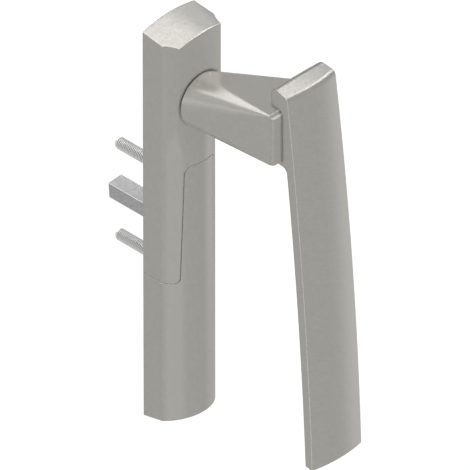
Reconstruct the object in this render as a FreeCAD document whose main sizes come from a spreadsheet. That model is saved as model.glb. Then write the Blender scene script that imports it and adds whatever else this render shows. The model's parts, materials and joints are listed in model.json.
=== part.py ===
import FreeCAD, Part
import math
import os

import Sketcher

# Offset window handle: a cranked lever at the head of a long slim housing turns a pinion,
# a toothed rack carries the motion down the housing, and a second pinion turns the square
# spindle that enters the window. A cover slides off the foot of the housing to bare the
# two fixing screws.
# Frame: origin on the spindle axis in the mounting plane, X to the right, Z up, and the
# handle standing out towards -Y. A depth is a distance in front of the mounting plane.

doc = FreeCAD.newDocument("window_handle")
sheet = doc.addObject("Spreadsheet::Sheet", "Sizes")

SIZES = [
    # Housing outline
    ("housing_width", 28),
    ("housing_above", 93.6),
    ("housing_below", 86.9),
    ("body_side_depth", 10),
    ("body_front_depth", 18.7),
    ("head_side_depth", 10.7),
    ("head_edge_depth", 17.1),
    ("head_front_depth", 17.7),
    ("head_front_width", 22.3),
    ("head_facet_hollow", 0.35),
    ("blend_start", 41.1),
    ("blend_end", 71.1),
    ("top_back_dome_radius", 52),
    ("top_front_dome_radius", 31),
    ("top_dome_offset", 2.2),
    ("top_back_rise", 2.2),
    ("top_front_fall", 1.5),
    ("foot_slope", 12.4),
    ("rim_round", 0.4),
    ("rim_height", 6),
    # Sliding screw cover
    ("cover_shoulder", 19.2),
    ("tongue_top", 35.4),
    ("tongue_foot_width", 18.8),
    ("tongue_top_width", 16.2),
    ("tongue_foot_round", 2.5),
    ("tongue_top_round", 4),
    ("seam_gap", 0.16),
    ("cover_side_wall", 1.2),
    ("cover_front_wall", 2),
    ("cover_floor_below", 81.1),
    ("slide_gap", 0.1),
    ("rail_depth", 3),
    ("rail_width", 1.4),
    ("rail_reach", 0.7),
    # Cavity of the housing
    ("tail_side_wall", 1.5),
    ("tail_front_wall", 1.2),
    ("cavity_above", 90.7),
    ("tail_end_gap", 0.3),
    # Closing plate at the back
    ("plate_thickness", 1.5),
    ("plate_gap", 0.1),
    ("plate_corner", 1.5),
    ("plate_screw_radius", 1.5),
    ("plate_head_radius", 2.8),
    ("plate_screw_length", 8),
    ("blind_hole_gap", 0.5),
    ("post_radius", 3),
    ("post_top_height", 84.4),
    ("post_upper_height", 44),
    ("post_lower_drop", 44),
    ("post_foot_drop", 75.6),
    # Fixing screws
    ("screw_spacing", 43),
    ("screw_radius", 2.5),
    ("screw_shank_radius", 2.2),
    ("screw_point_bevel", 0.6),
    ("screw_length", 40),
    ("screw_seat_depth", 12),
    ("screw_head_radius", 4.3),
    ("screw_head_height", 2.8),
    ("screw_head_bevel", 0.9),
    ("screw_recess_reach", 2.4),
    ("screw_recess_width", 1.1),
    ("screw_recess_depth", 1.9),
    ("screw_hole_gap", 0.15),
    ("head_hole_gap", 0.3),
    ("boss_radius", 5.3),
    ("boss_front_radius", 6.1),
    ("boss_head_length", 3),
    ("wall_overlap", 0.4),
    # Gears
    ("tooth_module", 1),
    ("pinion_teeth", 14),
    ("pressure_angle", 25),
    ("tooth_play", 0.1),
    ("root_gap_ratio", 0.25),
    ("pinion_front_depth", 8),
    ("lever_pinion_back_depth", 2.8),
    ("spindle_pinion_back_depth", 2.2),
    ("rack_back_depth", 1.8),
    ("rack_front_depth", 7.8),
    ("rack_top", 89.9),
    ("rack_bottom_drop", 5),
    ("rack_half_turn", 180),
    ("liner_thickness", 0.5),
    ("liner_gap", 0.05),
    ("liner_inset", 0.4),
    ("mesh_margin", 4),
    # Lever shaft
    ("lever_height", 64.5),
    ("journal_radius", 7),
    ("running_gap", 0.05),
    ("lever_bush_radius", 8.7),
    ("bush_back_depth", 8.6),
    ("bush_seat_depth", 17.25),
    ("bush_flange", 0.5),
    ("bush_flange_radius", 10.8),
    ("bearing_boss_wall", 1.5),
    ("stub_width", 7),
    ("washer_radius", 8),
    ("washer_bore_radius", 5.25),
    ("washer_thickness", 0.4),
    ("lever_screw_radius", 2),
    ("lever_screw_head_radius", 4.8),
    ("lever_screw_head_height", 1),
    ("lever_screw_head_bevel", 0.4),
    ("lever_screw_length", 10),
    # Neck
    ("collar_radius", 11.5),
    ("collar_back_depth", 18),
    ("collar_gap", 0.3),
    ("neck_end_depth", 57.8),
    ("neck_end_offset", 14.7),
    ("neck_end_width", 33),
    ("neck_edge_round", 1.6),
    ("neck_top_round", 1.6),
    ("neck_corner_round", 0.3),
    # Grip
    ("grip_offset", 16.15),
    ("grip_top_width", 26),
    ("grip_bottom_width", 26.9),
    ("grip_side_taper", 0.09),
    ("taper_span", 20),
    ("trim_margin", 6),
    ("grip_top_height", 81.7),
    ("grip_bottom_drop", 83.6),
    ("grip_top_depth", 61.1),
    ("grip_lean", 14.15),
    ("grip_bow_radius", 1765),
    ("grip_thickness", 4.5),
    ("grip_foot_thickness", 4),
    ("grip_crown", 1.4),
    ("lip_hook", 6.1),
    ("lip_back_round", 3),
    ("lip_inner_round", 1),
    ("lip_back_height", 85.75),
    ("lip_slope", 10.7),
    ("lip_dome_radius", 270),
    ("lip_dome_offset", 6),
    ("lip_round", 2.4),
    ("root_back_depth", 55.5),
    ("root_thickness", 2.3),
    ("root_fillet", 2.6),
    ("joint_gap", 0.05),
    ("tenon_width", 14),
    ("tenon_height", 12),
    ("tenon_length", 9),
    ("tenon_end_gap", 0.3),
    ("grub_radius", 2.5),
    ("grub_inset", 4.9),
    ("grub_length", 4.6),
    ("grub_socket", 2.5),
    # Spindle
    ("spindle_width", 7),
    ("spindle_reach", 30),
    ("spindle_front_depth", 12),
    ("spindle_chamfer", 0.7),
    ("spindle_turn", 4),
    ("hub_radius", 5.9),
    ("hub_front_depth", 12.6),
    ("hub_back_depth", 0.2),
    ("hub_end_gap", 0.3),
    ("hub_bush_wall", 1.1),
    ("hub_bush_depth", 9.8),
    ("hub_bush_length", 2.6),
    ("pin_radius", 1),
    ("pin_depth", 11),
    ("pin_inset", 0.15),
    # Detent
    ("detent_disc_radius", 9.5),
    ("detent_disc_depth", 9.3),
    ("ball_radius", 1.5),
    ("ball_gap", 0.1),
    ("ball_depth", 8.6),
    ("notch_depth", 0.5),
    ("detent_spring_wire", 0.3),
    ("detent_spring_turns", 3),
    ("detent_block_width", 5.4),
    ("detent_block_depth", 11),
    ("detent_block_gap", 0.3),
    ("bore_overlap", 0.3),
]

for row, (alias, amount) in enumerate(SIZES, start=1):
    sheet.set(f"A{row}", alias.replace("_", " "))
    sheet.set(f"B{row}", str(amount))
    sheet.setAlias(f"B{row}", alias)
doc.recompute()


# Expressions used by several pieces, written once.

HALF_WIDTH = "Sizes.housing_width / 2"
BODY_RISE = "(Sizes.body_front_depth - Sizes.body_side_depth)"
BODY_ARC = f"((({HALF_WIDTH}) ^ 2 + {BODY_RISE} ^ 2) / (2 * {BODY_RISE}))"
BODY_ARC_CENTRE = f"(Sizes.body_front_depth - {BODY_ARC})"
COVER_INSIDE = "(Sizes.housing_width / 2 - Sizes.cover_side_wall)"
COVER_INSIDE_ARC = f"({BODY_ARC} - Sizes.cover_front_wall)"
TAIL_HALF = f"({COVER_INSIDE} - Sizes.slide_gap)"
TAIL_ARC = f"({COVER_INSIDE_ARC} - Sizes.slide_gap)"
CAVITY_HALF = f"({TAIL_HALF} - Sizes.tail_side_wall)"
CAVITY_ARC = f"({TAIL_ARC} - Sizes.tail_front_wall)"
CAVITY_FRONT = f"({BODY_ARC_CENTRE} + {CAVITY_ARC})"
TAIL_END = "(Sizes.cover_floor_below - Sizes.tail_end_gap)"
HALF_SPACING = "(Sizes.screw_spacing / 2)"
PITCH_RADIUS = "(Sizes.tooth_module * Sizes.pinion_teeth / 2)"

# Lengths that only have to be ample: how far trimming tools reach, and how far joined or
# subtracted solids run into each other.
FAR = 400
CLEAR = 60
OVERLAP = 1
HAIR = 0.01


def value(expression):
    """The number that an expression gives with the sheet as it stands."""
    return float(sheet.evalExpression(str(expression)))


def bind(item, **expressions):
    """Ties properties to the sheet; a double underscore stands for a dot."""
    for name, expression in expressions.items():
        item.setExpression(name.replace("__", "."), str(expression))
    return item


def labelled(item, label):
    """Gives a finished piece the name of its file."""
    item.Label = label
    return item


# Sketch helpers

def plane_of(body, role):
    """One of a body's own origin planes."""
    return [part for part in body.Origin.OriginFeatures if part.Role == role][0]


def new_sketch(body, name, role, lift):
    """An empty sketch on an origin plane, moved along the plane's normal by an expression."""
    sketch = body.newObject("Sketcher::SketchObject", name)
    sketch.AttachmentSupport = [(plane_of(body, role), "")]
    sketch.MapMode = "FlatFace"
    sketch.setExpression("AttachmentOffset.Base.z", str(lift))
    return sketch


def pin_down(sketch, kind, name, geometry, expression):
    """Adds one dimension to a sketch and ties it to the sheet."""
    constraint = Sketcher.Constraint(kind, *geometry, value(expression))
    index = sketch.addConstraint(constraint)
    sketch.renameConstraint(index, name)
    sketch.setExpression(f"Constraints.{name}", str(expression))


def arc_between(start, end, radius, outward):
    """The lesser arc from start to end; outward bows to the right of the way taken."""
    chord = end - start
    middle = (start + end) * 0.5
    left = FreeCAD.Vector(-chord.y, chord.x, 0).normalize()
    height = math.sqrt(max(radius ** 2 - (chord.Length / 2) ** 2, 0))
    centre = middle + left * (height if outward else -height)
    first, last = (start, end) if outward else (end, start)
    begin = math.atan2(first.y - centre.y, first.x - centre.x)
    finish = math.atan2(last.y - centre.y, last.x - centre.x)
    circle = Part.Circle(centre, FreeCAD.Vector(0, 0, 1), radius)
    return Part.ArcOfCircle(circle, begin, finish)


def draw_outline(sketch, corners, arcs=None):
    """A closed outline, counter-clockwise. Corners are pairs of expressions, and arcs maps
    an edge's number to its radius and whether it bows outward."""
    arcs = arcs or {}
    points = [FreeCAD.Vector(value(x), value(y), 0) for x, y in corners]
    first = sketch.GeometryCount
    ends = []
    for index, start in enumerate(points):
        end = points[(index + 1) % len(points)]
        if index in arcs:
            radius, outward = arcs[index]
            sketch.addGeometry(arc_between(start, end, value(radius), outward), False)
            ends.append((1, 2) if outward else (2, 1))
        else:
            sketch.addGeometry(Part.LineSegment(start, end), False)
            ends.append((1, 2))
    count = len(points)
    for index in range(count):
        following = (index + 1) % count
        sketch.addConstraint(Sketcher.Constraint(
            "Coincident", first + index, ends[index][1], first + following, ends[following][0]))
    for index, (x, y) in enumerate(corners):
        corner = (-1, 1, first + index, ends[index][0])
        pin_down(sketch, "DistanceX", f"x{first + index}", corner, x)
        pin_down(sketch, "DistanceY", f"y{first + index}", corner, y)
    for index, (radius, outward) in arcs.items():
        pin_down(sketch, "Radius", f"radius{first + index}", (first + index,), radius)
    return sketch


def prism(name, role, lift, length, corners, arcs=None, both_ways=False):
    """A body padded from one outline on an origin plane."""
    body = doc.addObject("PartDesign::Body", name)
    sketch = draw_outline(new_sketch(body, f"{name}_outline", role, lift), corners, arcs)
    pad = body.newObject("PartDesign::Pad", f"{name}_pad")
    pad.Profile = sketch
    pad.setExpression("Length", str(length))
    pad.Midplane = both_ways
    doc.recompute()
    return body


def turned(name, x, z, profile):
    """A body turned about a depth axis. The profile is pairs of radius and depth."""
    body = doc.addObject("PartDesign::Body", name)
    sketch = new_sketch(body, f"{name}_profile", "XY_Plane", 0)
    draw_outline(sketch, [(radius, f"-({depth})") for radius, depth in profile])
    turn = body.newObject("PartDesign::Revolution", f"{name}_turn")
    turn.Profile = sketch
    turn.ReferenceAxis = (sketch, ["V_Axis"])
    turn.Angle = 360
    bind(body, Placement__Base__x=x, Placement__Base__z=z)
    doc.recompute()
    return body


def loft(name, role, sections, ruled):
    """A body lofted through outlines: (lift, corners, arcs) each."""
    body = doc.addObject("PartDesign::Body", name)
    sketches = []
    for number, (lift, corners, arcs) in enumerate(sections):
        sketch = new_sketch(body, f"{name}_section_{number}", role, lift)
        sketches.append(draw_outline(sketch, corners, arcs))
    blend = body.newObject("PartDesign::AdditiveLoft", f"{name}_loft")
    blend.Profile = sketches[0]
    blend.Sections = sketches[1:]
    blend.Ruled = ruled
    doc.recompute()
    return body


# Primitive and boolean helpers

def rod(name, x, z, depth, length, radius):
    """A cylinder that starts at a depth and runs forward."""
    cylinder = doc.addObject("Part::Cylinder", name)
    forward = FreeCAD.Rotation(FreeCAD.Vector(1, 0, 0), 90)
    cylinder.Placement = FreeCAD.Placement(FreeCAD.Vector(), forward)
    bind(cylinder, Radius=radius, Height=length)
    bind(cylinder, Placement__Base__x=x, Placement__Base__y=f"-({depth})", Placement__Base__z=z)
    return cylinder


def upright_rod(name, x, depth, bottom, length, radius):
    """A cylinder that starts at a height and runs up."""
    cylinder = doc.addObject("Part::Cylinder", name)
    bind(cylinder, Radius=radius, Height=length)
    bind(cylinder, Placement__Base__x=x, Placement__Base__y=f"-({depth})",
         Placement__Base__z=bottom)
    return cylinder


def cross_rod(name, z, depth, half_length, radius):
    """A cylinder across the handle, centred on the middle plane."""
    cylinder = doc.addObject("Part::Cylinder", name)
    across = FreeCAD.Rotation(FreeCAD.Vector(0, 1, 0), 90)
    cylinder.Placement = FreeCAD.Placement(FreeCAD.Vector(), across)
    bind(cylinder, Radius=radius, Height=f"2 * ({half_length})")
    bind(cylinder, Placement__Base__x=f"-({half_length})", Placement__Base__y=f"-({depth})",
         Placement__Base__z=z)
    return cylinder


def block(name, left, right, back_depth, front_depth, bottom, top):
    """A box between two limits each way."""
    box = doc.addObject("Part::Box", name)
    bind(box, Length=f"({right}) - ({left})", Width=f"({front_depth}) - ({back_depth})",
         Height=f"({top}) - ({bottom})")
    bind(box, Placement__Base__x=left, Placement__Base__y=f"-({front_depth})",
         Placement__Base__z=bottom)
    return box


def fuse(name, pieces):
    """Joins solids into one."""
    union = doc.addObject("Part::MultiFuse", name)
    union.Shapes = pieces
    union.Refine = True
    return union


def cut(name, base, tools):
    """Takes tools away from a base."""
    tool = tools[0] if len(tools) == 1 else fuse(f"{name}_tools", tools)
    remainder = doc.addObject("Part::Cut", name)
    remainder.Base = base
    remainder.Tool = tool
    remainder.Refine = True
    return remainder


def common(name, first, second):
    """Keeps what two solids share."""
    shared = doc.addObject("Part::Common", name)
    shared.Base = first
    shared.Tool = second
    shared.Refine = True
    return shared


def rounded(name, base, radius, wanted):
    """Rounds the edges that the test picks."""
    doc.recompute()
    fillet = doc.addObject("Part::Fillet", name)
    fillet.Base = base
    size = value(radius)
    edges = enumerate(base.Shape.Edges, start=1)
    fillet.Edges = [(number, size, size) for number, edge in edges if wanted(edge)]
    doc.recompute()
    return fillet


# Outlines of the housing, seen from above

def arched_outline(half, arc, back="0"):
    """Straight sides that start at a back depth, and one arc across the front. The arc
    shares its centre with the front of the housing's lower part."""
    side = f"({BODY_ARC_CENTRE} + sqrt({arc} ^ 2 - {half} ^ 2))"
    corners = [(f"-{half}", f"-({back})"), (f"-{half}", f"-{side}"),
               (half, f"-{side}"), (half, f"-({back})")]
    return corners, {1: (arc, True)}


def body_section():
    """The lower part's section: flat sides and one round front, in three stretches."""
    edge = "(Sizes.head_front_width / 2)"
    half = f"({HALF_WIDTH})"
    side = "Sizes.body_side_depth"
    shoulder = f"({BODY_ARC_CENTRE} + sqrt({BODY_ARC} ^ 2 - {edge} ^ 2))"
    corners = [(f"-{half}", "0"), (f"-{half}", f"-{side}"), (f"-{edge}", f"-{shoulder}"),
               (edge, f"-{shoulder}"), (half, f"-{side}"), (half, "0")]
    return corners, {1: (BODY_ARC, True), 2: (BODY_ARC, True), 3: (BODY_ARC, True)}


def head_section():
    """The head's section: crisp corners, slightly hollow facets and a near-flat front."""
    edge = "(Sizes.head_front_width / 2)"
    half = f"({HALF_WIDTH})"
    rise = "(Sizes.head_front_depth - Sizes.head_edge_depth)"
    front = f"({edge} ^ 2 + {rise} ^ 2) / (2 * {rise})"
    facet = f"(({half} - {edge}) ^ 2 + (Sizes.head_edge_depth - Sizes.head_side_depth) ^ 2)"
    hollow = "Sizes.head_facet_hollow"
    facet_arc = f"({facet} / 4 + {hollow} ^ 2) / (2 * {hollow})"
    corners = [(f"-{half}", "0"), (f"-{half}", "-Sizes.head_side_depth"),
               (f"-{edge}", "-Sizes.head_edge_depth"), (edge, "-Sizes.head_edge_depth"),
               (half, "-Sizes.head_side_depth"), (half, "0")]
    return corners, {1: (facet_arc, False), 2: (front, True), 3: (facet_arc, False)}


# Housing skin: the outer form that the housing and its cover share

lower_corners, lower_arcs = body_section()
upper_corners, upper_arcs = head_section()
lower_skin = prism("lower_skin", "XY_Plane", f"-{FAR / 2}", f"Sizes.blend_start + {FAR / 2}",
                   lower_corners, lower_arcs)
blend_skin = loft("blend_skin", "XY_Plane",
                  [("Sizes.blend_start", lower_corners, lower_arcs),
                   ("Sizes.blend_end", upper_corners, upper_arcs)], True)
upper_skin = prism("upper_skin", "XY_Plane", "Sizes.blend_end", CLEAR,
                   upper_corners, upper_arcs)
skin_blank = fuse("skin_blank", [lower_skin, blend_skin, upper_skin])


def top_section(radius, crest):
    """What lies below the domed top, seen from the front at one depth."""
    half = "(Sizes.housing_width / 2 + Sizes.trim_margin)"
    left = f"(Sizes.top_dome_offset - {half})"
    right = f"(Sizes.top_dome_offset + {half})"
    side = f"({crest} - ({radius} - sqrt({radius} ^ 2 - {half} ^ 2)))"
    corners = [(left, f"-{FAR}"), (right, f"-{FAR}"), (right, side), (left, side)]
    return corners, {2: (radius, True)}


TOP_CREST = "(Sizes.housing_above + Sizes.top_back_rise)"
back_dome = top_section("Sizes.top_back_dome_radius", TOP_CREST)
front_dome = top_section("Sizes.top_front_dome_radius",
                         f"({TOP_CREST} - Sizes.top_front_fall)")
top_trim = loft("top_trim", "XZ_Plane", [
    ("0", *back_dome), ("Sizes.body_front_depth + Sizes.trim_margin", *front_dome)], True)
foot_trim = prism("foot_trim", "XZ_Plane", "0", FAR,
                  [(-CLEAR, "0"), (CLEAR, "0"), (CLEAR, FAR), (-CLEAR, FAR)], both_ways=True)
foot_trim.Placement.Rotation = FreeCAD.Rotation(FreeCAD.Vector(-1, 0, 0), 1)
bind(foot_trim, Placement__Base__z="-Sizes.housing_below",
     Placement__Rotation__Angle="Sizes.foot_slope")
skin_sharp = common("skin_sharp", common("skin_topped", skin_blank, top_trim), foot_trim)


def is_rim(edge):
    """The edges round the top end and the foot end, apart from those in the back plane."""
    box = edge.BoundBox
    in_back_plane = box.YMin > -HAIR
    reach = value("Sizes.rim_height")
    at_top = box.ZMin > value("Sizes.housing_above") - reach
    at_foot = box.ZMax < reach - value("Sizes.housing_below")
    return (at_top or at_foot) and not in_back_plane and box.ZLength < reach


skin = rounded("skin", skin_sharp, "Sizes.rim_round", is_rim)


# Screw cover: the lower part of the skin with a tongue up the front

def cover_outline(gap):
    """The cover seen from the front, drawn in by a gap at its seam."""
    shoulder = f"(-Sizes.cover_shoulder - {gap})"
    foot = f"(Sizes.tongue_foot_width / 2 - {gap})"
    crest = f"(Sizes.tongue_top_width / 2 - {gap})"
    top = f"(Sizes.tongue_top - {gap})"
    foot_round = f"(Sizes.tongue_foot_round + {gap})"
    top_round = f"(Sizes.tongue_top_round - {gap})"
    right = [(f"{foot} + {foot_round}", shoulder),
             (foot, f"{shoulder} + {foot_round}"),
             (crest, f"{top} - {top_round}"),
             (f"{crest} - {top_round}", top)]
    left = [(f"-({x})", z) for x, z in reversed(right)]
    corners = [(-CLEAR, -FAR), (CLEAR, -FAR), (CLEAR, shoulder)] + right + left
    corners.append((-CLEAR, shoulder))
    arcs = {3: (foot_round, False), 5: (top_round, True),
            7: (top_round, True), 9: (foot_round, False)}
    return corners, arcs


def cover_region(name, gap):
    """All that lies behind and in front of the cover's outline."""
    corners, arcs = cover_outline(gap)
    return prism(name, "XZ_Plane", "0", FAR, corners, arcs, both_ways=True)


def core(name, half, arc, bottom, top):
    """An upright block of arched section."""
    corners, arcs = arched_outline(half, arc, f"-{CLEAR}")
    return prism(name, "XY_Plane", bottom, f"({top}) - ({bottom})", corners, arcs)


def rail(name, side, inner, outer, extra):
    """A straight rail or groove along one side of the tail."""
    near, far = (inner, outer) if side > 0 else (f"-({outer})", f"-({inner})")
    middle = "(Sizes.rail_depth + Sizes.rail_width / 2)"
    half = f"(Sizes.rail_width / 2 + {extra})"
    return block(name, near, far, f"{middle} - {half}", f"{middle} + {half}",
                 f"-{TAIL_END} - {extra}", "-Sizes.cover_shoulder - Sizes.seam_gap")


cover_space = core("cover_space", COVER_INSIDE, COVER_INSIDE_ARC,
                   "-Sizes.cover_floor_below", CLEAR)
cover_shell = cut("cover_shell",
                  common("cover_blank", skin, cover_region("cover_piece_region",
                                                           "Sizes.seam_gap")),
                  [cover_space])
rails = []
for side, word in ((1, "right"), (-1, "left")):
    inner = f"{COVER_INSIDE} - Sizes.rail_reach"
    outer = f"{COVER_INSIDE} + Sizes.cover_side_wall / 2"
    rails.append(rail(f"{word}_rail", side, inner, outer, "0"))
screw_cover = labelled(fuse("screw_cover", [cover_shell] + rails), "screw_cover")


# Housing: the rest of the skin, hollow at the back, with its posts and bearing bosses

tail_core = core("tail_core", TAIL_HALF, TAIL_ARC, f"-{TAIL_END}", "Sizes.housing_above")
shed = cut("cover_room", cover_region("cover_room_region", "0"), [tail_core])
housing_blank = cut("housing_blank", skin, [shed])
cavity = core("cavity", CAVITY_HALF, CAVITY_ARC, f"-{TAIL_END} + Sizes.tail_side_wall",
              "Sizes.cavity_above")
housing_shell = cut("housing_shell", housing_blank, [cavity])

PLATE_FRONT = "(Sizes.plate_thickness + Sizes.plate_gap)"
WALL_REACH = f"({CAVITY_FRONT} + Sizes.wall_overlap)"
POSTS = {
    "top": "Sizes.post_top_height",
    "upper": "Sizes.post_upper_height",
    "lower": "-Sizes.post_lower_drop",
    "foot": "-Sizes.post_foot_drop",
}
SCREWS = {"upper": f"{HALF_SPACING}", "lower": f"-{HALF_SPACING}"}
BOSS_HEAD_BACK = "(Sizes.screw_seat_depth - Sizes.boss_head_length)"
HUB_BUSH_RADIUS = "(Sizes.hub_radius + Sizes.running_gap + Sizes.hub_bush_wall)"

bosses = []
holes = []
for word, height in POSTS.items():
    bosses.append(rod(f"{word}_post", "0", height, PLATE_FRONT,
                      f"{WALL_REACH} - {PLATE_FRONT}", "Sizes.post_radius"))
    holes.append(rod(f"{word}_post_hole", "0", height, f"-{OVERLAP}",
                     f"{OVERLAP} + Sizes.plate_screw_length + Sizes.blind_hole_gap",
                     "Sizes.plate_screw_radius + Sizes.running_gap"))
for word, height in SCREWS.items():
    bosses.append(rod(f"{word}_boss", "0", height, PLATE_FRONT,
                      f"{WALL_REACH} - {PLATE_FRONT}", "Sizes.boss_radius"))
    bosses.append(rod(f"{word}_boss_head", "0", height, BOSS_HEAD_BACK,
                      f"{WALL_REACH} - {BOSS_HEAD_BACK}", "Sizes.boss_front_radius"))
    holes.append(rod(f"{word}_screw_hole", "0", height, f"-{OVERLAP}", CLEAR,
                     "Sizes.screw_radius + Sizes.screw_hole_gap"))
    holes.append(rod(f"{word}_head_hole", "0", height, "Sizes.screw_seat_depth", CLEAR,
                     "Sizes.screw_head_radius + Sizes.head_hole_gap"))
bosses.append(rod("lever_boss", "0", "Sizes.lever_height", "Sizes.bush_back_depth",
                  f"{WALL_REACH} - Sizes.bush_back_depth",
                  "Sizes.lever_bush_radius + Sizes.bearing_boss_wall"))
holes.append(rod("lever_bush_hole", "0", "Sizes.lever_height", "0", CLEAR,
                 "Sizes.lever_bush_radius + Sizes.running_gap"))
holes.append(rod("lever_bush_seat", "0", "Sizes.lever_height", "Sizes.bush_seat_depth", CLEAR,
                 "Sizes.collar_radius + Sizes.collar_gap"))
bosses.append(rod("hub_boss", "0", "0", "Sizes.hub_bush_depth - Sizes.plate_gap",
                  f"{WALL_REACH} - Sizes.hub_bush_depth + Sizes.plate_gap",
                  f"{HUB_BUSH_RADIUS} + Sizes.bearing_boss_wall"))
holes.append(rod("hub_bush_hole", "0", "0", "Sizes.detent_disc_depth",
                 "Sizes.hub_front_depth + Sizes.hub_end_gap - Sizes.detent_disc_depth",
                 f"{HUB_BUSH_RADIUS} + Sizes.running_gap"))

# The ball and spring of the detent stand in a bored block below the upper screw boss.
BALL_HEIGHT = "(Sizes.detent_disc_radius + Sizes.ball_gap + Sizes.ball_radius)"
BORE_TOP = f"({HALF_SPACING} - Sizes.boss_radius + Sizes.bore_overlap)"
bosses.append(block("detent_block", "-Sizes.detent_block_width / 2",
                    "Sizes.detent_block_width / 2",
                    "Sizes.ball_depth - Sizes.detent_block_width / 2",
                    "Sizes.detent_block_depth",
                    "Sizes.detent_disc_radius + Sizes.detent_block_gap", HALF_SPACING))
holes.append(upright_rod("detent_bore", "0", "Sizes.ball_depth", "Sizes.detent_disc_radius",
                         f"{BORE_TOP} - Sizes.detent_disc_radius",
                         "Sizes.ball_radius + Sizes.ball_gap"))
for side, word in ((1, "right"), (-1, "left")):
    inner = f"{COVER_INSIDE} - Sizes.rail_reach - Sizes.slide_gap"
    holes.append(rail(f"{word}_groove", side, inner, "Sizes.housing_width", "Sizes.slide_gap"))
inner_bosses = common("inner_bosses", fuse("boss_blanks", bosses), tail_core)
housing_solid = fuse("housing_solid", [housing_shell, inner_bosses])
housing = labelled(cut("housing", housing_solid, holes), "housing")


# Closing plate and its screws

PLATE_HALF = f"({CAVITY_HALF} - Sizes.plate_gap)"
plate_top = "(Sizes.cavity_above - Sizes.plate_gap)"
plate_bottom = f"(-{TAIL_END} + Sizes.tail_side_wall + Sizes.plate_gap)"
plate_corner = "Sizes.plate_corner"
plate_blank = prism(
    "plate_blank", "XZ_Plane", "0", "Sizes.plate_thickness",
    [(f"-{PLATE_HALF} + {plate_corner}", plate_bottom),
     (f"{PLATE_HALF} - {plate_corner}", plate_bottom),
     (PLATE_HALF, f"{plate_bottom} + {plate_corner}"),
     (PLATE_HALF, f"{plate_top} - {plate_corner}"),
     (f"{PLATE_HALF} - {plate_corner}", plate_top),
     (f"-{PLATE_HALF} + {plate_corner}", plate_top),
     (f"-{PLATE_HALF}", f"{plate_top} - {plate_corner}"),
     (f"-{PLATE_HALF}", f"{plate_bottom} + {plate_corner}")],
    {1: (plate_corner, True), 3: (plate_corner, True),
     5: (plate_corner, True), 7: (plate_corner, True)})


def countersink(name, height, extra):
    """The cone of a plate screw's head, a little larger for its seat."""
    cone = doc.addObject("Part::Cone", name)
    forward = FreeCAD.Rotation(FreeCAD.Vector(1, 0, 0), 90)
    cone.Placement = FreeCAD.Placement(FreeCAD.Vector(), forward)
    bind(cone, Radius1=f"Sizes.plate_head_radius + {extra}",
         Radius2=f"Sizes.plate_screw_radius + {extra}",
         Height="Sizes.plate_head_radius - Sizes.plate_screw_radius",
         Placement__Base__z=height)
    return cone


plate_holes = []
plate_screw_solids = []
for word, height in POSTS.items():
    plate_holes.append(rod(f"{word}_plate_hole", "0", height, f"-{OVERLAP}", CLEAR,
                           "Sizes.plate_screw_radius + Sizes.running_gap"))
    plate_holes.append(countersink(f"{word}_plate_seat", height, "Sizes.running_gap"))
    plate_screw_solids.append(fuse(f"{word}_plate_screw", [
        countersink(f"{word}_plate_screw_head", height, "0"),
        rod(f"{word}_plate_screw_shank", "0", height, "0", "Sizes.plate_screw_length",
            "Sizes.plate_screw_radius")]))
for word, height in SCREWS.items():
    plate_holes.append(rod(f"{word}_plate_opening", "0", height, f"-{OVERLAP}", CLEAR,
                           "Sizes.screw_radius + Sizes.screw_hole_gap"))
plate_holes.append(rod("plate_hub_hole", "0", "0", f"-{OVERLAP}", CLEAR,
                       f"{HUB_BUSH_RADIUS} + Sizes.running_gap"))
base_plate = labelled(cut("base_plate", plate_blank, plate_holes), "base_plate")
plate_screws = doc.addObject("Part::Compound", "plate_screws")
plate_screws.Links = plate_screw_solids
labelled(plate_screws, "plate_screws")


# Fixing screws: cross-recessed heads on the boss seats, shanks out through the back

def fixing_screw(name, height):
    """One machine screw with a rounded cheese head."""
    seat = "Sizes.screw_seat_depth"
    crown = f"{seat} + Sizes.screw_head_height"
    radius = "Sizes.screw_radius"
    blank = turned(f"{name}_blank", "0", height, [
        ("0", f"{seat} - Sizes.screw_length"),
        (f"{radius} - Sizes.screw_point_bevel", f"{seat} - Sizes.screw_length"),
        (radius, f"{seat} - Sizes.screw_length + Sizes.screw_point_bevel"),
        (radius, "0"),
        ("Sizes.screw_shank_radius", "0"),
        ("Sizes.screw_shank_radius", seat),
        ("Sizes.screw_head_radius", seat),
        ("Sizes.screw_head_radius", f"{crown} - Sizes.screw_head_bevel"),
        ("Sizes.screw_head_radius - Sizes.screw_head_bevel", crown),
        ("0", crown)][::-1])
    reach = "Sizes.screw_recess_reach"
    half = "Sizes.screw_recess_width / 2"
    floor = f"{crown} - Sizes.screw_recess_depth"
    recess = [
        block(f"{name}_recess_across", f"-{reach}", reach, floor, f"{crown} + {OVERLAP}",
              f"{height} - {half}", f"{height} + {half}"),
        block(f"{name}_recess_upright", f"-{half}", half, floor, f"{crown} + {OVERLAP}",
              f"{height} - {reach}", f"{height} + {reach}")]
    return labelled(cut(name, blank, recess), name)


upper_fixing_screw = fixing_screw("upper_fixing_screw", SCREWS["upper"])
lower_fixing_screw = fixing_screw("lower_fixing_screw", SCREWS["lower"])


# Bushes

lever_bush = labelled(turned("lever_bush", "0", "Sizes.lever_height", [
    ("Sizes.journal_radius + Sizes.running_gap", "Sizes.bush_back_depth"),
    ("Sizes.journal_radius + Sizes.running_gap", "Sizes.bush_seat_depth + Sizes.bush_flange"),
    ("Sizes.bush_flange_radius", "Sizes.bush_seat_depth + Sizes.bush_flange"),
    ("Sizes.bush_flange_radius", "Sizes.bush_seat_depth"),
    ("Sizes.lever_bush_radius", "Sizes.bush_seat_depth"),
    ("Sizes.lever_bush_radius", "Sizes.bush_back_depth")]), "lever_bush")


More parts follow.
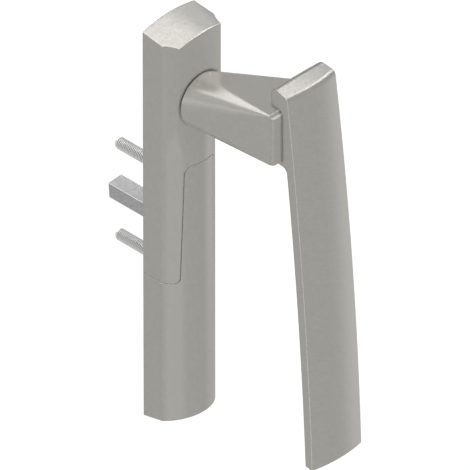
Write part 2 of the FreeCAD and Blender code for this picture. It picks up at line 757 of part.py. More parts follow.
def ring(name, depth, length):
    """A plain bush round the spindle hub."""
    inner = "Sizes.hub_radius + Sizes.running_gap"
    return labelled(turned(name, "0", "0", [
        (inner, depth), (inner, f"{depth} + {length}"),
        (HUB_BUSH_RADIUS, f"{depth} + {length}"), (HUB_BUSH_RADIUS, depth)]), name)


front_bush = ring("front_bush", "Sizes.hub_bush_depth", "Sizes.hub_bush_length")
back_bush = ring("back_bush", "0", PLATE_FRONT)


# Toothed pieces

FLANK_STEPS = 6


def involute_points(base_radius, tip_radius, count):
    """Points along one involute flank from the base circle to the tip circle."""
    reach = math.sqrt((tip_radius / base_radius) ** 2 - 1)
    points = []
    for step in range(count + 1):
        roll = reach * step / count
        radius = base_radius * math.sqrt(1 + roll ** 2)
        points.append((radius, roll - math.atan(roll)))
    return points


def toothed_disc(name, height, back, front, lead):
    """An involute pinion blank. A lead turns its teeth against the handle's left side."""
    module = value("Sizes.tooth_module")
    teeth = round(value("Sizes.pinion_teeth"))
    angle = math.radians(value("Sizes.pressure_angle"))
    pitch = module * teeth / 2
    base = pitch * math.cos(angle)
    tip = pitch + module
    root = pitch - module * (1 + value("Sizes.root_gap_ratio"))
    half_tooth = (math.pi * module / 2 - value("Sizes.tooth_play")) / (2 * pitch)
    half_base = half_tooth + math.tan(angle) - angle
    flank = involute_points(base, tip, FLANK_STEPS)
    edges = []

    def spot(radius, turn):
        """A point in the plane of the disc, at a turn from the left side."""
        return FreeCAD.Vector(-radius * math.cos(turn), 0, radius * math.sin(turn))

    for tooth in range(teeth):
        middle = 2 * math.pi * tooth / teeth + lead
        rising = [spot(radius, middle - half_base + roll) for radius, roll in flank]
        falling = [spot(radius, middle + half_base - roll) for radius, roll in flank[::-1]]
        next_root = 2 * math.pi * (tooth + 1) / teeth + lead - half_base
        edges.append(Part.makeLine(spot(root, middle - half_base), rising[0]))
        rise = Part.BSplineCurve()
        rise.interpolate(rising)
        edges.append(rise.toShape())
        edges.append(Part.Arc(rising[-1], spot(tip, middle), falling[0]).toShape())
        fall = Part.BSplineCurve()
        fall.interpolate(falling)
        edges.append(fall.toShape())
        edges.append(Part.makeLine(falling[-1], spot(root, middle + half_base)))
        valley = (middle + half_base + next_root) / 2
        edges.append(Part.Arc(spot(root, middle + half_base), spot(root, valley),
                              spot(root, next_root)).toShape())
    outline = Part.Wire(Part.__sortEdges__(edges))
    disc = Part.Face(outline).extrude(FreeCAD.Vector(0, -(value(front) - value(back)), 0))
    gear = doc.addObject("Part::Feature", name)
    gear.Shape = disc
    gear.Placement.Base = FreeCAD.Vector(0, -value(back), value(height))
    return gear


def square_bar(name, height, back, front, width, turn):
    """A square bar along the depth, turned about its own axis."""
    half = f"({width}) / 2"
    bar = prism(name, "XZ_Plane", back, f"({front}) - ({back})",
                [(f"-{half}", f"-{half}"), (half, f"-{half}"), (half, half), (f"-{half}", half)])
    bar.Placement.Rotation = FreeCAD.Rotation(FreeCAD.Vector(0, -1, 0), 1)
    bind(bar, Placement__Base__z=height, Placement__Rotation__Angle=turn)
    return bar


# The rack's gaps are counted from the spindle, so the upper pinion leads by what is left over.
PITCH = math.pi * value("Sizes.tooth_module")
left_over = value("Sizes.lever_height") - PITCH * round(value("Sizes.lever_height") / PITCH)
upper_lead = -left_over / value(PITCH_RADIUS)

lever_pinion = labelled(cut(
    "lever_pinion",
    toothed_disc("lever_teeth", "Sizes.lever_height", "Sizes.lever_pinion_back_depth",
                 "Sizes.pinion_front_depth", upper_lead),
    [square_bar("lever_square_hole", "Sizes.lever_height", "0", CLEAR,
                "Sizes.stub_width + 2 * Sizes.running_gap", "0")]), "lever_pinion")

hub = rod("hub", "0", "0", "Sizes.hub_back_depth",
          "Sizes.hub_front_depth - Sizes.hub_back_depth", "Sizes.hub_radius")
disc = rod("detent_disc", "0", "0", "Sizes.pinion_front_depth",
           "Sizes.detent_disc_depth - Sizes.pinion_front_depth", "Sizes.detent_disc_radius")
hub_holes = [
    square_bar("hub_square_hole", "0", f"-{OVERLAP}", CLEAR,
               "Sizes.spindle_width + 2 * Sizes.running_gap", "Sizes.spindle_turn"),
    cross_rod("hub_pin_hole", "0", "Sizes.pin_depth", f"Sizes.hub_radius + {OVERLAP}",
              "Sizes.pin_radius + Sizes.running_gap")]
for quarter in range(4):
    notch = upright_rod(f"notch_{quarter}", "0", "0", "0", CLEAR,
                        "Sizes.ball_radius + Sizes.ball_gap")
    notch.Placement.Rotation = FreeCAD.Rotation(FreeCAD.Vector(1, 0, 0), 90)
    angle = quarter * 90
    centre = ("(Sizes.detent_disc_radius - Sizes.notch_depth + Sizes.ball_radius"
              " + Sizes.ball_gap)")
    bind(notch, Placement__Base__x=f"{centre} * sin({angle})",
         Placement__Base__y="-Sizes.pinion_front_depth",
         Placement__Base__z=f"{centre} * cos({angle})")
    hub_holes.append(notch)
spindle_pinion = labelled(cut(
    "spindle_pinion",
    fuse("hub_solid", [
        toothed_disc("spindle_teeth", "0", "Sizes.spindle_pinion_back_depth",
                     "Sizes.pinion_front_depth", 0),
        hub, disc]), hub_holes), "spindle_pinion")


def rack_tooth(centre, module, play, slope):
    """Corners of one rack tooth, from its lower root to its upper root."""
    half_pitch_line = (math.pi * module / 2 - play) / 2
    tip_half = half_pitch_line - module * slope
    root_depth = module * (1 + value("Sizes.root_gap_ratio"))
    root_half = half_pitch_line + root_depth * slope
    pitch_line = -value(PITCH_RADIUS)
    root_x = pitch_line - root_depth
    tip_x = pitch_line + module
    return [(root_x, centre - root_half), (tip_x, centre - tip_half),
            (tip_x, centre + tip_half), (root_x, centre + root_half)]


def toothed_rack():
    """The rack: toothed where the two pinions reach in a half turn, and plain between."""
    module = value("Sizes.tooth_module")
    slope = math.tan(math.radians(value("Sizes.pressure_angle")))
    travel = value(PITCH_RADIUS) * math.radians(value("Sizes.rack_half_turn"))
    margin = value("Sizes.mesh_margin")
    bottom = -value("Sizes.rack_bottom_drop")
    top = value("Sizes.rack_top")
    upper = value("Sizes.lever_height")
    back_x = (-value(CAVITY_HALF) + value("Sizes.liner_thickness")
              + 2 * value("Sizes.liner_gap"))
    root_x = -value(PITCH_RADIUS) - module * (1 + value("Sizes.root_gap_ratio"))
    pitch = math.pi * module
    corners = [(root_x, bottom)]
    number = math.floor(bottom / pitch)
    while (number + 1.5) * pitch < top:
        centre = (number + 0.5) * pitch
        meets_spindle = -margin < centre < travel + margin
        meets_lever = upper - margin < centre < upper + travel + margin
        if centre - pitch / 2 > bottom and (meets_spindle or meets_lever):
            corners += rack_tooth(centre, module, value("Sizes.tooth_play"), slope)
        number += 1
    corners += [(root_x, top), (back_x, top), (back_x, bottom)]
    points = [FreeCAD.Vector(x, 0, z) for x, z in corners + corners[:1]]
    bar = doc.addObject("Part::Feature", "rack")
    width = value("Sizes.rack_front_depth") - value("Sizes.rack_back_depth")
    bar.Shape = Part.Face(Part.makePolygon(points)).extrude(FreeCAD.Vector(0, -width, 0))
    bar.Placement.Base = FreeCAD.Vector(0, -value("Sizes.rack_back_depth"), 0)
    return labelled(bar, "rack")


rack = toothed_rack()
TRAVEL = f"({PITCH_RADIUS} * Sizes.rack_half_turn * {math.pi} / 180)"
rack_liner = labelled(block(
    "rack_liner", f"-{CAVITY_HALF} + Sizes.liner_gap",
    f"-{CAVITY_HALF} + Sizes.liner_gap + Sizes.liner_thickness",
    "Sizes.plate_thickness + Sizes.plate_gap", "Sizes.rack_front_depth - Sizes.liner_inset",
    f"-Sizes.rack_bottom_drop - {TRAVEL}", "Sizes.rack_top"), "rack_liner")


# Lever shaft, neck and their small parts

SHAFT_BACK = "Sizes.lever_pinion_back_depth"


def rounded_box_section(left, right, bottom, top, radius):
    """A rectangle with rounded corners, whose sides may shrink to nearly nothing."""
    corners = [(f"{left} + {radius}", bottom), (f"{right} - {radius}", bottom),
               (right, f"{bottom} + {radius}"), (right, f"{top} - {radius}"),
               (f"{right} - {radius}", top), (f"{left} + {radius}", top),
               (left, f"{top} - {radius}"), (left, f"{bottom} + {radius}")]
    arcs = {1: (radius, True), 3: (radius, True), 5: (radius, True), 7: (radius, True)}
    return corners, arcs


collar = "Sizes.collar_radius"
collar_corners, collar_arcs = rounded_box_section(
    f"-{collar}", collar, f"(Sizes.lever_height - {collar})",
    f"(Sizes.lever_height + {collar})", f"({collar} - {HAIR})")
end_corners, end_arcs = rounded_box_section(
    "(Sizes.neck_end_offset - Sizes.neck_end_width / 2)",
    "(Sizes.neck_end_offset + Sizes.neck_end_width / 2)",
    f"(Sizes.lever_height - {collar})", f"(Sizes.lever_height + {collar})",
    "Sizes.neck_corner_round")
neck_wedge = loft("neck_wedge", "XZ_Plane", [
    ("Sizes.collar_back_depth", collar_corners, collar_arcs),
    ("Sizes.neck_end_depth", end_corners, end_arcs)], True)


# The upright edges of the neck's end are rounded where a block with rounded corners trims them.
END_LEFT = "(Sizes.neck_end_offset - Sizes.neck_end_width / 2)"
END_RIGHT = "(Sizes.neck_end_offset + Sizes.neck_end_width / 2)"
WEDGE_LENGTH = "(Sizes.neck_end_depth - Sizes.collar_back_depth)"


def end_round(corner_x, flare, side):
    """Where a rounded upright edge leaves the neck's side and where it meets the end."""
    turn = f"atan({flare} / {WEDGE_LENGTH})"
    reach = f"(Sizes.neck_edge_round / tan((90 deg - {side} * {turn}) / 2))"
    on_side = (f"({corner_x} - {side} * {reach} * sin({turn}))",
               f"-(Sizes.neck_end_depth - {reach} * cos({turn}))")
    on_end = (f"({corner_x} - {side} * {reach})", "-Sizes.neck_end_depth")
    return on_side, on_end


left_side, left_end = end_round(END_LEFT, f"({END_LEFT} + {collar})", -1)
right_side, right_end = end_round(END_RIGHT, f"({END_RIGHT} - {collar})", 1)
neck_trim = prism("neck_trim", "XY_Plane", "0", FAR, [
    (-CLEAR, "0"), (-CLEAR, "-Sizes.neck_end_depth / 2"), left_side, left_end, right_end,
    right_side, (CLEAR, "-Sizes.neck_end_depth / 2"), (CLEAR, "0")],
    {2: ("Sizes.neck_edge_round", True), 4: ("Sizes.neck_edge_round", True)})
neck_top = f"(Sizes.lever_height + {collar})"
top_round = "Sizes.neck_top_round"
neck_top_trim = prism("neck_top_trim", "YZ_Plane", "0", FAR, [
    ("0", "0"), ("-Sizes.neck_end_depth", "0"),
    ("-Sizes.neck_end_depth", f"{neck_top} - {top_round}"),
    (f"{top_round} - Sizes.neck_end_depth", neck_top), ("0", neck_top)],
    {2: (top_round, True)}, both_ways=True)
neck_rounded = common("neck_rounded", common("neck_flared", neck_wedge, neck_trim),
                      neck_top_trim)
neck_shaft = rod("neck_shaft", "0", "Sizes.lever_height",
                 "Sizes.bush_back_depth + Sizes.plate_gap",
                 f"Sizes.collar_back_depth + {OVERLAP} - Sizes.bush_back_depth"
                 " - Sizes.plate_gap",
                 "Sizes.journal_radius")
neck_stub = square_bar("neck_stub", "Sizes.lever_height", SHAFT_BACK,
                       f"Sizes.collar_back_depth + {OVERLAP}", "Sizes.stub_width", "0")
lever_screw_hole = rod("lever_screw_hole", "0", "Sizes.lever_height", "0",
                       f"{SHAFT_BACK} + Sizes.lever_screw_length + Sizes.blind_hole_gap",
                       "Sizes.lever_screw_radius + Sizes.running_gap")
TENON_BACK = "(Sizes.neck_end_depth - Sizes.tenon_length)"
grip_x = "Sizes.grip_offset"
neck_pocket = block("neck_pocket",
                    f"{grip_x} - Sizes.tenon_width / 2 - Sizes.joint_gap",
                    f"{grip_x} + Sizes.tenon_width / 2 + Sizes.joint_gap",
                    f"{TENON_BACK} - Sizes.tenon_end_gap", CLEAR,
                    "Sizes.lever_height - Sizes.tenon_height / 2 - Sizes.joint_gap",
                    "Sizes.lever_height + Sizes.tenon_height / 2 + Sizes.joint_gap")
GRUB_TOP = "(Sizes.lever_height - Sizes.tenon_height / 2)"
GRUB_DEPTH = "(Sizes.neck_end_depth - Sizes.grub_inset)"
grub_hole = upright_rod("grub_hole", grip_x, GRUB_DEPTH,
                        "Sizes.lever_height - 2 * Sizes.collar_radius",
                        "2 * Sizes.collar_radius", "Sizes.grub_radius + Sizes.running_gap")
neck = labelled(cut("neck", fuse("neck_solid", [neck_rounded, neck_shaft, neck_stub]),
                    [lever_screw_hole, neck_pocket, grub_hole]), "neck")

grub_blank = upright_rod("grub_blank", grip_x, GRUB_DEPTH,
                         f"{GRUB_TOP} - Sizes.grub_length", "Sizes.grub_length",
                         "Sizes.grub_radius")
grub_socket = doc.addObject("Part::Prism", "grub_socket")
grub_socket.Polygon = 6
bind(grub_socket, Circumradius="Sizes.grub_socket / sqrt(3)", Height="Sizes.grub_length / 2",
     Placement__Base__x=grip_x, Placement__Base__y=f"-{GRUB_DEPTH}",
     Placement__Base__z=f"{GRUB_TOP} - Sizes.grub_length")
grip_screw = labelled(cut("grip_screw", grub_blank, [grub_socket]), "grip_screw")

lever_washer = labelled(turned("lever_washer", "0", "Sizes.lever_height", [
    ("Sizes.washer_bore_radius", "Sizes.pinion_front_depth + Sizes.plate_gap"),
    ("Sizes.washer_bore_radius",
     "Sizes.pinion_front_depth + Sizes.plate_gap + Sizes.washer_thickness"),
    ("Sizes.washer_radius",
     "Sizes.pinion_front_depth + Sizes.plate_gap + Sizes.washer_thickness"),
    ("Sizes.washer_radius", "Sizes.pinion_front_depth + Sizes.plate_gap")]), "lever_washer")

lever_screw = labelled(turned("lever_screw", "0", "Sizes.lever_height", [
    ("0", f"{SHAFT_BACK} - Sizes.lever_screw_head_height"),
    ("0", f"{SHAFT_BACK} + Sizes.lever_screw_length"),
    ("Sizes.lever_screw_radius", f"{SHAFT_BACK} + Sizes.lever_screw_length"),
    ("Sizes.lever_screw_radius", SHAFT_BACK),
    ("Sizes.lever_screw_head_radius", SHAFT_BACK),
    ("Sizes.lever_screw_head_radius - Sizes.lever_screw_head_bevel",
     f"{SHAFT_BACK} - Sizes.lever_screw_head_height")]), "lever_screw")


# Grip: a bowed, crowned blade whose head hooks over the neck's end

GRIP_DROP = "(Sizes.grip_top_height + Sizes.grip_bottom_drop)"
BOW = "Sizes.grip_bow_radius"
CHORD = f"sqrt({GRIP_DROP} ^ 2 + Sizes.grip_lean ^ 2)"
BOW_RISE = f"({BOW} - sqrt({BOW} ^ 2 - ({CHORD}) ^ 2 / 4))"


def grip_depth(height):
    """Depth of the front's edge line at a height, on the bow's arc."""
    drop = f"(Sizes.grip_top_height - ({height}))"
    share = f"({drop} / {GRIP_DROP})"
    return (f"(Sizes.grip_top_depth + Sizes.grip_lean * {share}"
            f" + 4 * {BOW_RISE} * {share} * (1 - {share}))")


LIP_BACK = "(Sizes.neck_end_depth - Sizes.lip_hook)"


def side_profile():
    """The grip seen from its side, with room left in front for the crowned face."""
    neck_bottom = f"(Sizes.lever_height - {collar})"
    root_low = f"({neck_bottom} - Sizes.joint_gap - Sizes.root_thickness)"
    fillet_low = f"({root_low} - Sizes.root_fillet)"
    blade_back = f"({grip_depth(fillet_low)} - Sizes.grip_thickness)"
    foot = "-Sizes.grip_bottom_drop"
    foot_back = f"({grip_depth(foot)} - Sizes.grip_foot_thickness)"
    end_face = "(Sizes.neck_end_depth + Sizes.joint_gap)"
    ledge = f"({neck_top} + Sizes.joint_gap)"
    inner = "Sizes.lip_inner_round"
    above = "(Sizes.lip_back_height + Sizes.trim_margin)"
    corners = [
        (f"-({grip_depth(foot)} + Sizes.trim_margin)", foot),
        (f"-{foot_back}", foot),
        (f"-{blade_back}", fillet_low),
        (f"Sizes.root_fillet - {blade_back}", root_low),
        ("-Sizes.root_back_depth", root_low),
        ("-Sizes.root_back_depth", f"{neck_bottom} - Sizes.joint_gap"),
        (f"-{end_face}", f"{neck_bottom} - Sizes.joint_gap"),
        (f"-{end_face}", f"{ledge} - {top_round}"),
        (f"{top_round} - {end_face}", ledge),
        (f"-{LIP_BACK} - {inner}", ledge),
        (f"-{LIP_BACK}", f"{ledge} + {inner}"),
        (f"-{LIP_BACK}", above),
        (f"-({grip_depth('Sizes.grip_top_height')} + Sizes.trim_margin)", above)]
    arcs = {1: (f"{BOW} - Sizes.grip_thickness", False),
            2: ("Sizes.root_fillet", False),
            7: (top_round, False),
            9: (inner, True)}
    return corners, arcs


profile_corners, profile_arcs = side_profile()
grip_side = prism("grip_side", "YZ_Plane", grip_x, "2 * Sizes.grip_top_width",
                  profile_corners, profile_arcs, both_ways=True)


def width_section(height, width):
    """The grip's two side lines seen from above, at one height."""
    front = f"({grip_depth(height)} + Sizes.taper_span)"
    back = f"({grip_depth(height)} - Sizes.taper_span)"
    front_half = f"({width} / 2 + Sizes.taper_span * Sizes.grip_side_taper)"
    back_half = f"({width} / 2 - Sizes.taper_span * Sizes.grip_side_taper)"
    corners = [(f"{grip_x} - {back_half}", f"-{back}"), (f"{grip_x} - {front_half}", f"-{front}"),
               (f"{grip_x} + {front_half}", f"-{front}"), (f"{grip_x} + {back_half}", f"-{back}")]
    return height, corners, None


grip_width = loft("grip_width", "XY_Plane", [
    width_section("-Sizes.grip_bottom_drop", "Sizes.grip_bottom_width"),
    width_section("(Sizes.lip_back_height + Sizes.trim_margin)", "Sizes.grip_top_width")], True)

# The crowned front is the outer face of a very large ring about an axis far behind.
crown_half = "(Sizes.grip_top_width / 2)"
crown_radius = f"(({crown_half} ^ 2 + Sizes.grip_crown ^ 2) / (2 * Sizes.grip_crown))"
lean_angle = f"atan(Sizes.grip_lean / {GRIP_DROP})"
middle_depth = "(Sizes.grip_top_depth + Sizes.grip_lean / 2)"
middle_height = "((Sizes.grip_top_height - Sizes.grip_bottom_drop) / 2)"
crown_ring = doc.addObject("Part::Torus", "crown_ring")
crown_ring.Placement.Rotation = FreeCAD.Rotation(FreeCAD.Vector(0, 1, 0), 90)
bind(crown_ring, Radius1=f"{BOW} + Sizes.grip_crown - {crown_radius}", Radius2=crown_radius,
     Placement__Base__x=grip_x,
     Placement__Base__y=f"-({middle_depth} - ({BOW} - {BOW_RISE}) * cos({lean_angle}))",
     Placement__Base__z=f"{middle_height} - ({BOW} - {BOW_RISE}) * sin({lean_angle})")

lip_dome = "Sizes.lip_dome_radius"
lip_half = "Sizes.grip_top_width"
lip_left = f"({grip_x} + Sizes.lip_dome_offset - {lip_half})"
lip_right = f"({grip_x} + Sizes.lip_dome_offset + {lip_half})"
lip_top_corners = [(lip_left, f"-{FAR}"), (lip_right, f"-{FAR}"), (lip_right, "0"),
                   (lip_left, "0")]
lip_trim = prism("lip_trim", "XZ_Plane", "0", FAR, lip_top_corners, {2: (lip_dome, True)},
                 both_ways=True)
lip_trim.Placement.Rotation = FreeCAD.Rotation(FreeCAD.Vector(1, 0, 0), 1)
bind(lip_trim, Placement__Base__y=f"-{LIP_BACK}",
     Placement__Base__z=f"Sizes.lip_back_height - ({lip_dome} - sqrt({lip_dome} ^ 2"
                        f" - {lip_half} ^ 2))",
     Placement__Rotation__Angle="Sizes.lip_slope")

grip_trimmed = common("grip_trimmed", common("grip_sided", grip_side, grip_width), lip_trim)
grip_crowned = common("grip_crowned", grip_trimmed, crown_ring)


def runs_across_top(edge):
    """True for the long edges across the grip's top."""
    box = edge.BoundBox
    return (box.ZMin > value("Sizes.grip_top_height - Sizes.lip_round")
            and box.XLength > value("Sizes.grip_top_width / 2"))


def is_lip_front(edge):
    """The edge between the grip's top and its front."""
    return (runs_across_top(edge)
            and edge.BoundBox.YMax < value("Sizes.lip_round - Sizes.grip_top_depth"))


def is_lip_back(edge):
    """The edge between the grip's top and the back of its lip."""
    return (runs_across_top(edge)
            and edge.BoundBox.YMin > value(f"-{LIP_BACK} - Sizes.lip_round"))


grip_front_round = rounded("grip_front_round", grip_crowned, "Sizes.lip_round", is_lip_front)
grip_lip = rounded("grip_lip", grip_front_round, "Sizes.lip_back_round", is_lip_back)
tenon = block("tenon", f"{grip_x} - Sizes.tenon_width / 2", f"{grip_x} + Sizes.tenon_width / 2",
              TENON_BACK, f"Sizes.neck_end_depth + {OVERLAP}",
              "Sizes.lever_height - Sizes.tenon_height / 2",
              "Sizes.lever_height + Sizes.tenon_height / 2")
grip = labelled(fuse("grip", [grip_lip, tenon]), "grip")


# Spindle, its cross pin, and the detent's ball and spring

spindle_bar = square_bar("spindle_bar", "0", "-Sizes.spindle_reach", "Sizes.spindle_front_depth",
                         "Sizes.spindle_width", "Sizes.spindle_turn")


def is_bar_end(edge):
    """The eight edges round the two ends of the spindle."""
    return edge.BoundBox.YLength < HAIR


spindle_bevelled = doc.addObject("Part::Chamfer", "spindle_bevelled")
spindle_bevelled.Base = spindle_bar
doc.recompute()
bevel = value("Sizes.spindle_chamfer")
spindle_bevelled.Edges = [(number, bevel, bevel) for number, edge
                          in enumerate(spindle_bar.Shape.Edges, start=1) if is_bar_end(edge)]
spindle = labelled(cut("spindle", spindle_bevelled, [
    cross_rod("spindle_pin_hole", "0", "Sizes.pin_depth", f"Sizes.hub_radius + {OVERLAP}",
              "Sizes.pin_radius + Sizes.running_gap")]), "spindle")
spindle_pin = labelled(cross_rod("spindle_pin", "0", "Sizes.pin_depth",
                                 "Sizes.hub_radius - Sizes.pin_inset", "Sizes.pin_radius"),
                       "spindle_pin")

detent_ball = doc.addObject("Part::Sphere", "detent_ball")
bind(detent_ball, Radius="Sizes.ball_radius", Placement__Base__y="-Sizes.ball_depth",
     Placement__Base__z=BALL_HEIGHT)
labelled(detent_ball, "detent_ball")


def coil_spring(name):
    """A short compression spring above the ball, wound upright."""
    body = doc.addObject("PartDesign::Body", name)
    sketch = new_sketch(body, f"{name}_wire", "XZ_Plane", 0)
    half = "(Sizes.detent_spring_wire / 2)"
    coil = "(Sizes.ball_radius - Sizes.detent_spring_wire)"
    draw_outline(sketch, [(f"{coil} - {half}", f"-{half}"), (f"{coil} + {half}", f"-{half}"),
                          (f"{coil} + {half}", half), (f"{coil} - {half}", half)])
    low = f"({BALL_HEIGHT} + Sizes.ball_radius + Sizes.detent_spring_wire / 2)"
    height = f"({BORE_TOP} - Sizes.detent_spring_wire - {low})"
    winding = body.newObject("PartDesign::AdditiveHelix", f"{name}_winding")
    winding.Profile = sketch
    winding.ReferenceAxis = (sketch, ["V_Axis"])
    winding.Mode = 0
    bind(winding, Pitch=f"{height} / Sizes.detent_spring_turns", Height=height)
    bind(body, Placement__Base__y="-Sizes.ball_depth", Placement__Base__z=low)
    doc.recompute()
    return labelled(body, name)


detent_spring = coil_spring("detent_spring")


# Check everything and write one file for each piece

PIECES = [housing, base_plate, plate_screws, upper_fixing_screw, lower_fixing_screw, lever_bush,
          front_bush, back_bush, rack_liner, detent_ball, detent_spring, neck, grip, grip_screw,
          lever_pinion, lever_washer, lever_screw, rack, spindle_pinion, spindle, spindle_pin,
          screw_cover]

doc.recompute()
failed = [item.Name for item in doc.Objects if {"Invalid", "Error"} & set(item.State)]
if failed:
    raise RuntimeError(f"failed: {', '.join(failed)}")
os.makedirs("parts", exist_ok=True)
for piece in PIECES:
    if piece.Shape.isNull() or not piece.Shape.isValid():
        raise RuntimeError(f"{piece.Label} has no valid shape")
    piece.Shape.exportStep(f"parts/{piece.Label}.step")
    box = piece.Shape.BoundBox
    print(f"{piece.Label:20s} solids {len(piece.Shape.Solids)} volume {piece.Shape.Volume:9.1f}"
          f" X {box.XMin:7.2f}..{box.XMax:7.2f} Y {box.YMin:7.2f}..{box.YMax:7.2f}"
          f" Z {box.ZMin:7.2f}..{box.ZMax:7.2f}")
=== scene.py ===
# %% [markdown]
# # An offset window handle
# A slim housing stands on the window sash, and a cranked lever leaves it near the top.
# Inside, a toothed rack carries the lever's turn down to the square spindle, and the
# foot of the housing is a cover that slides down to bare two long screws. The CAD
# pieces are loaded first as a fixed frame, in metres, with the origin on the spindle's
# axis in the mounting plane. Everything below only dresses them: it gives every surface
# its finish, and it makes six screws anew, two with threads and all with cross recesses.

# %% Load the frame
import json
import math

import bmesh
import bpy
from mathutils import Matrix, Vector


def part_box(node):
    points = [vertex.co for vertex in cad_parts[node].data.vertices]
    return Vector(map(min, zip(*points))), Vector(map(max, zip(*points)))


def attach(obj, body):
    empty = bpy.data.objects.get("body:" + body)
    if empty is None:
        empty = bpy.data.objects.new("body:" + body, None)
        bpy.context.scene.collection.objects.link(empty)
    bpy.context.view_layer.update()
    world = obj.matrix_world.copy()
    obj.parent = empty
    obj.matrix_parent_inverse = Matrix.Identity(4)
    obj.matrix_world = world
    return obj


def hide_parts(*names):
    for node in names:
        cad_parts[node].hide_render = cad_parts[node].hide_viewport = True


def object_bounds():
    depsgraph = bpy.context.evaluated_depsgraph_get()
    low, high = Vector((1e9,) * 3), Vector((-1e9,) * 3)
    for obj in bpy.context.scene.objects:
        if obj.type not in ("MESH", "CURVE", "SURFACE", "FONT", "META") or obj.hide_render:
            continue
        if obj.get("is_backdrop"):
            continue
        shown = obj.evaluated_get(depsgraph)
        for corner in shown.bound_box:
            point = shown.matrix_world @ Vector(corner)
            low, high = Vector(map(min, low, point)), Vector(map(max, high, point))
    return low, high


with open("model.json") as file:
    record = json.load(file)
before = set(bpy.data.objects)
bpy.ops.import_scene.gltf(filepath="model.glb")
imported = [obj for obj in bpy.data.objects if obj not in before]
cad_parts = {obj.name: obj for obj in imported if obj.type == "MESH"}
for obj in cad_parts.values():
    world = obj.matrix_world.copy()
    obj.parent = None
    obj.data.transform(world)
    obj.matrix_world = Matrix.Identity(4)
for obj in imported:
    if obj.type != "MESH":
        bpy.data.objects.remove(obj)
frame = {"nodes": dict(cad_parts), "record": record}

nodes = frame["nodes"]
cad_low, cad_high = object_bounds()
print("CAD box in mm:",
      [round(1000 * (high - low), 1) for low, high in zip(cad_low, cad_high)])

# %% [markdown]
# ## The view
# The picture is an isometric drawing without perspective: all three axes are shortened
# alike, so the camera stands 45 degrees to the side and about 35 degrees above. An
# orthographic camera could draw that too, but it would not keep its frame when the
# camera is moved round the object. A very long lens far away comes as close as the eye
# can tell, and it frames the part in every other view.

# %% Camera
MM = 0.001
FRAME_WIDTH = 180.8 * MM      # what the picture is wide, at the object
LENS = 1690.0                 # millimetres
SENSOR = 36.0                 # millimetres
AZIMUTH = math.radians(-45)
ELEVATION = math.asin(1 / math.sqrt(3))
AIM = Vector((18.226, -17.67, -8.843)) * MM    # the point in the middle of the picture
NEAREST, FARTHEST = 0.1, 200  # metres: what the camera draws, wide enough for the floor

towards_camera = Vector((math.sin(AZIMUTH) * math.cos(ELEVATION),
                         -math.cos(AZIMUTH) * math.cos(ELEVATION),
                         math.sin(ELEVATION)))
camera_data = bpy.data.cameras.new("long_lens")
camera_data.lens = LENS
camera_data.sensor_width = SENSOR
camera_data.clip_start = NEAREST
camera_data.clip_end = FARTHEST
camera = bpy.data.objects.new("camera", camera_data)
bpy.context.scene.collection.objects.link(camera)
distance = FRAME_WIDTH * LENS / SENSOR
camera.location = AIM + towards_camera * distance
camera.rotation_mode = "QUATERNION"
camera.rotation_quaternion = (-towards_camera).to_track_quat("-Z", "Y")
bpy.context.scene.camera = camera
print("camera distance in m:", round(distance, 2))

# %% [markdown]
# ## Colours
# A colour chart gives sRGB codes, which are spaced for the eye. Shaders add up light, so
# they need linear numbers, and one function turns the one into the other. The view
# transform is the plain one, so that a tone that is matched to the picture stays as it
# is and isn't bent by a film curve.

# %% Colours
bpy.context.scene.view_settings.view_transform = "Standard"


def linear(code):
    """An sRGB hex colour as the linear colour that shaders expect."""
    channels = [int(code[i:i + 2], 16) / 255 for i in (0, 2, 4)]
    return tuple(c / 12.92 if c <= 0.04045 else ((c + 0.055) / 1.055) ** 2.4
                 for c in channels) + (1.0,)


print("mid grey 808080 is linear", round(linear("808080")[0], 3))

# %% [markdown]
# ## Nodes
# Room light and finishes are both small nets of nodes. In the editor they are drawn by
# hand. Here one function adds a node of any kind, sets what it is given and links its
# inputs, so that a finish reads as a short list of what it is made of.

# %% Node helper


def add_node(tree, kind, inputs=None, **settings):
    """Adds a node. Settings are properties or inputs, by name; inputs may be links."""
    made = tree.nodes.new(kind)
    for name, amount in settings.items():
        if hasattr(made, name):
            setattr(made, name, amount)
        else:
            made.inputs[name.replace("_", " ")].default_value = amount
    for name, source in (inputs or {}).items():
        if isinstance(source, bpy.types.NodeSocket):
            tree.links.new(source, made.inputs[name])
        else:
            made.inputs[name].default_value = source
    return made


print("helper:", add_node.__name__)

# %% [markdown]
# ## Room light
# A catalogue picture of satin metal is taken in a bright room, because metal shows what
# stands around it. The world gives that even light from all sides. What the camera sees
# behind the object is a second, brighter backdrop, which lights nothing: the room can
# then be as dim as the metal needs, and the picture's ground stays pale.

# %% World
ROOM_LIGHT = 0.55
BACKDROP_LIGHT = 1.0

world = bpy.data.worlds.new("bright_room")
bpy.context.scene.world = world
world.use_nodes = True
sky = world.node_tree
room = sky.nodes["Background"]
room.inputs["Color"].default_value = linear("FFFFFF")
room.inputs["Strength"].default_value = ROOM_LIGHT
backdrop = add_node(sky, "ShaderNodeBackground", Strength=BACKDROP_LIGHT)
ray = add_node(sky, "ShaderNodeLightPath")
either = add_node(sky, "ShaderNodeMixShader", {
    "Fac": ray.outputs["Is Camera Ray"],
    1: room.outputs["Background"], 2: backdrop.outputs["Background"]})
sky.links.new(either.outputs["Shader"], sky.nodes["World Output"].inputs["Surface"])
print("room light", ROOM_LIGHT, "and backdrop", BACKDROP_LIGHT)

# %% [markdown]
# ## Floor
# The floor is one plain pale sheet well below the part, so wide that the picture never
# meets its edge. The frame's other views draw only a little way behind the part, so
# there the grey backdrop takes the place of some or all of it. The floor is out of sight
# of the metal and of the diffuse light, because a bright floor under the part would
# light its undersides as much as its top.

# %% Floor
FLOOR_DROP = 0.30             # metres below the part
FLOOR_HALF = 60.0             # metres from its middle to its edge

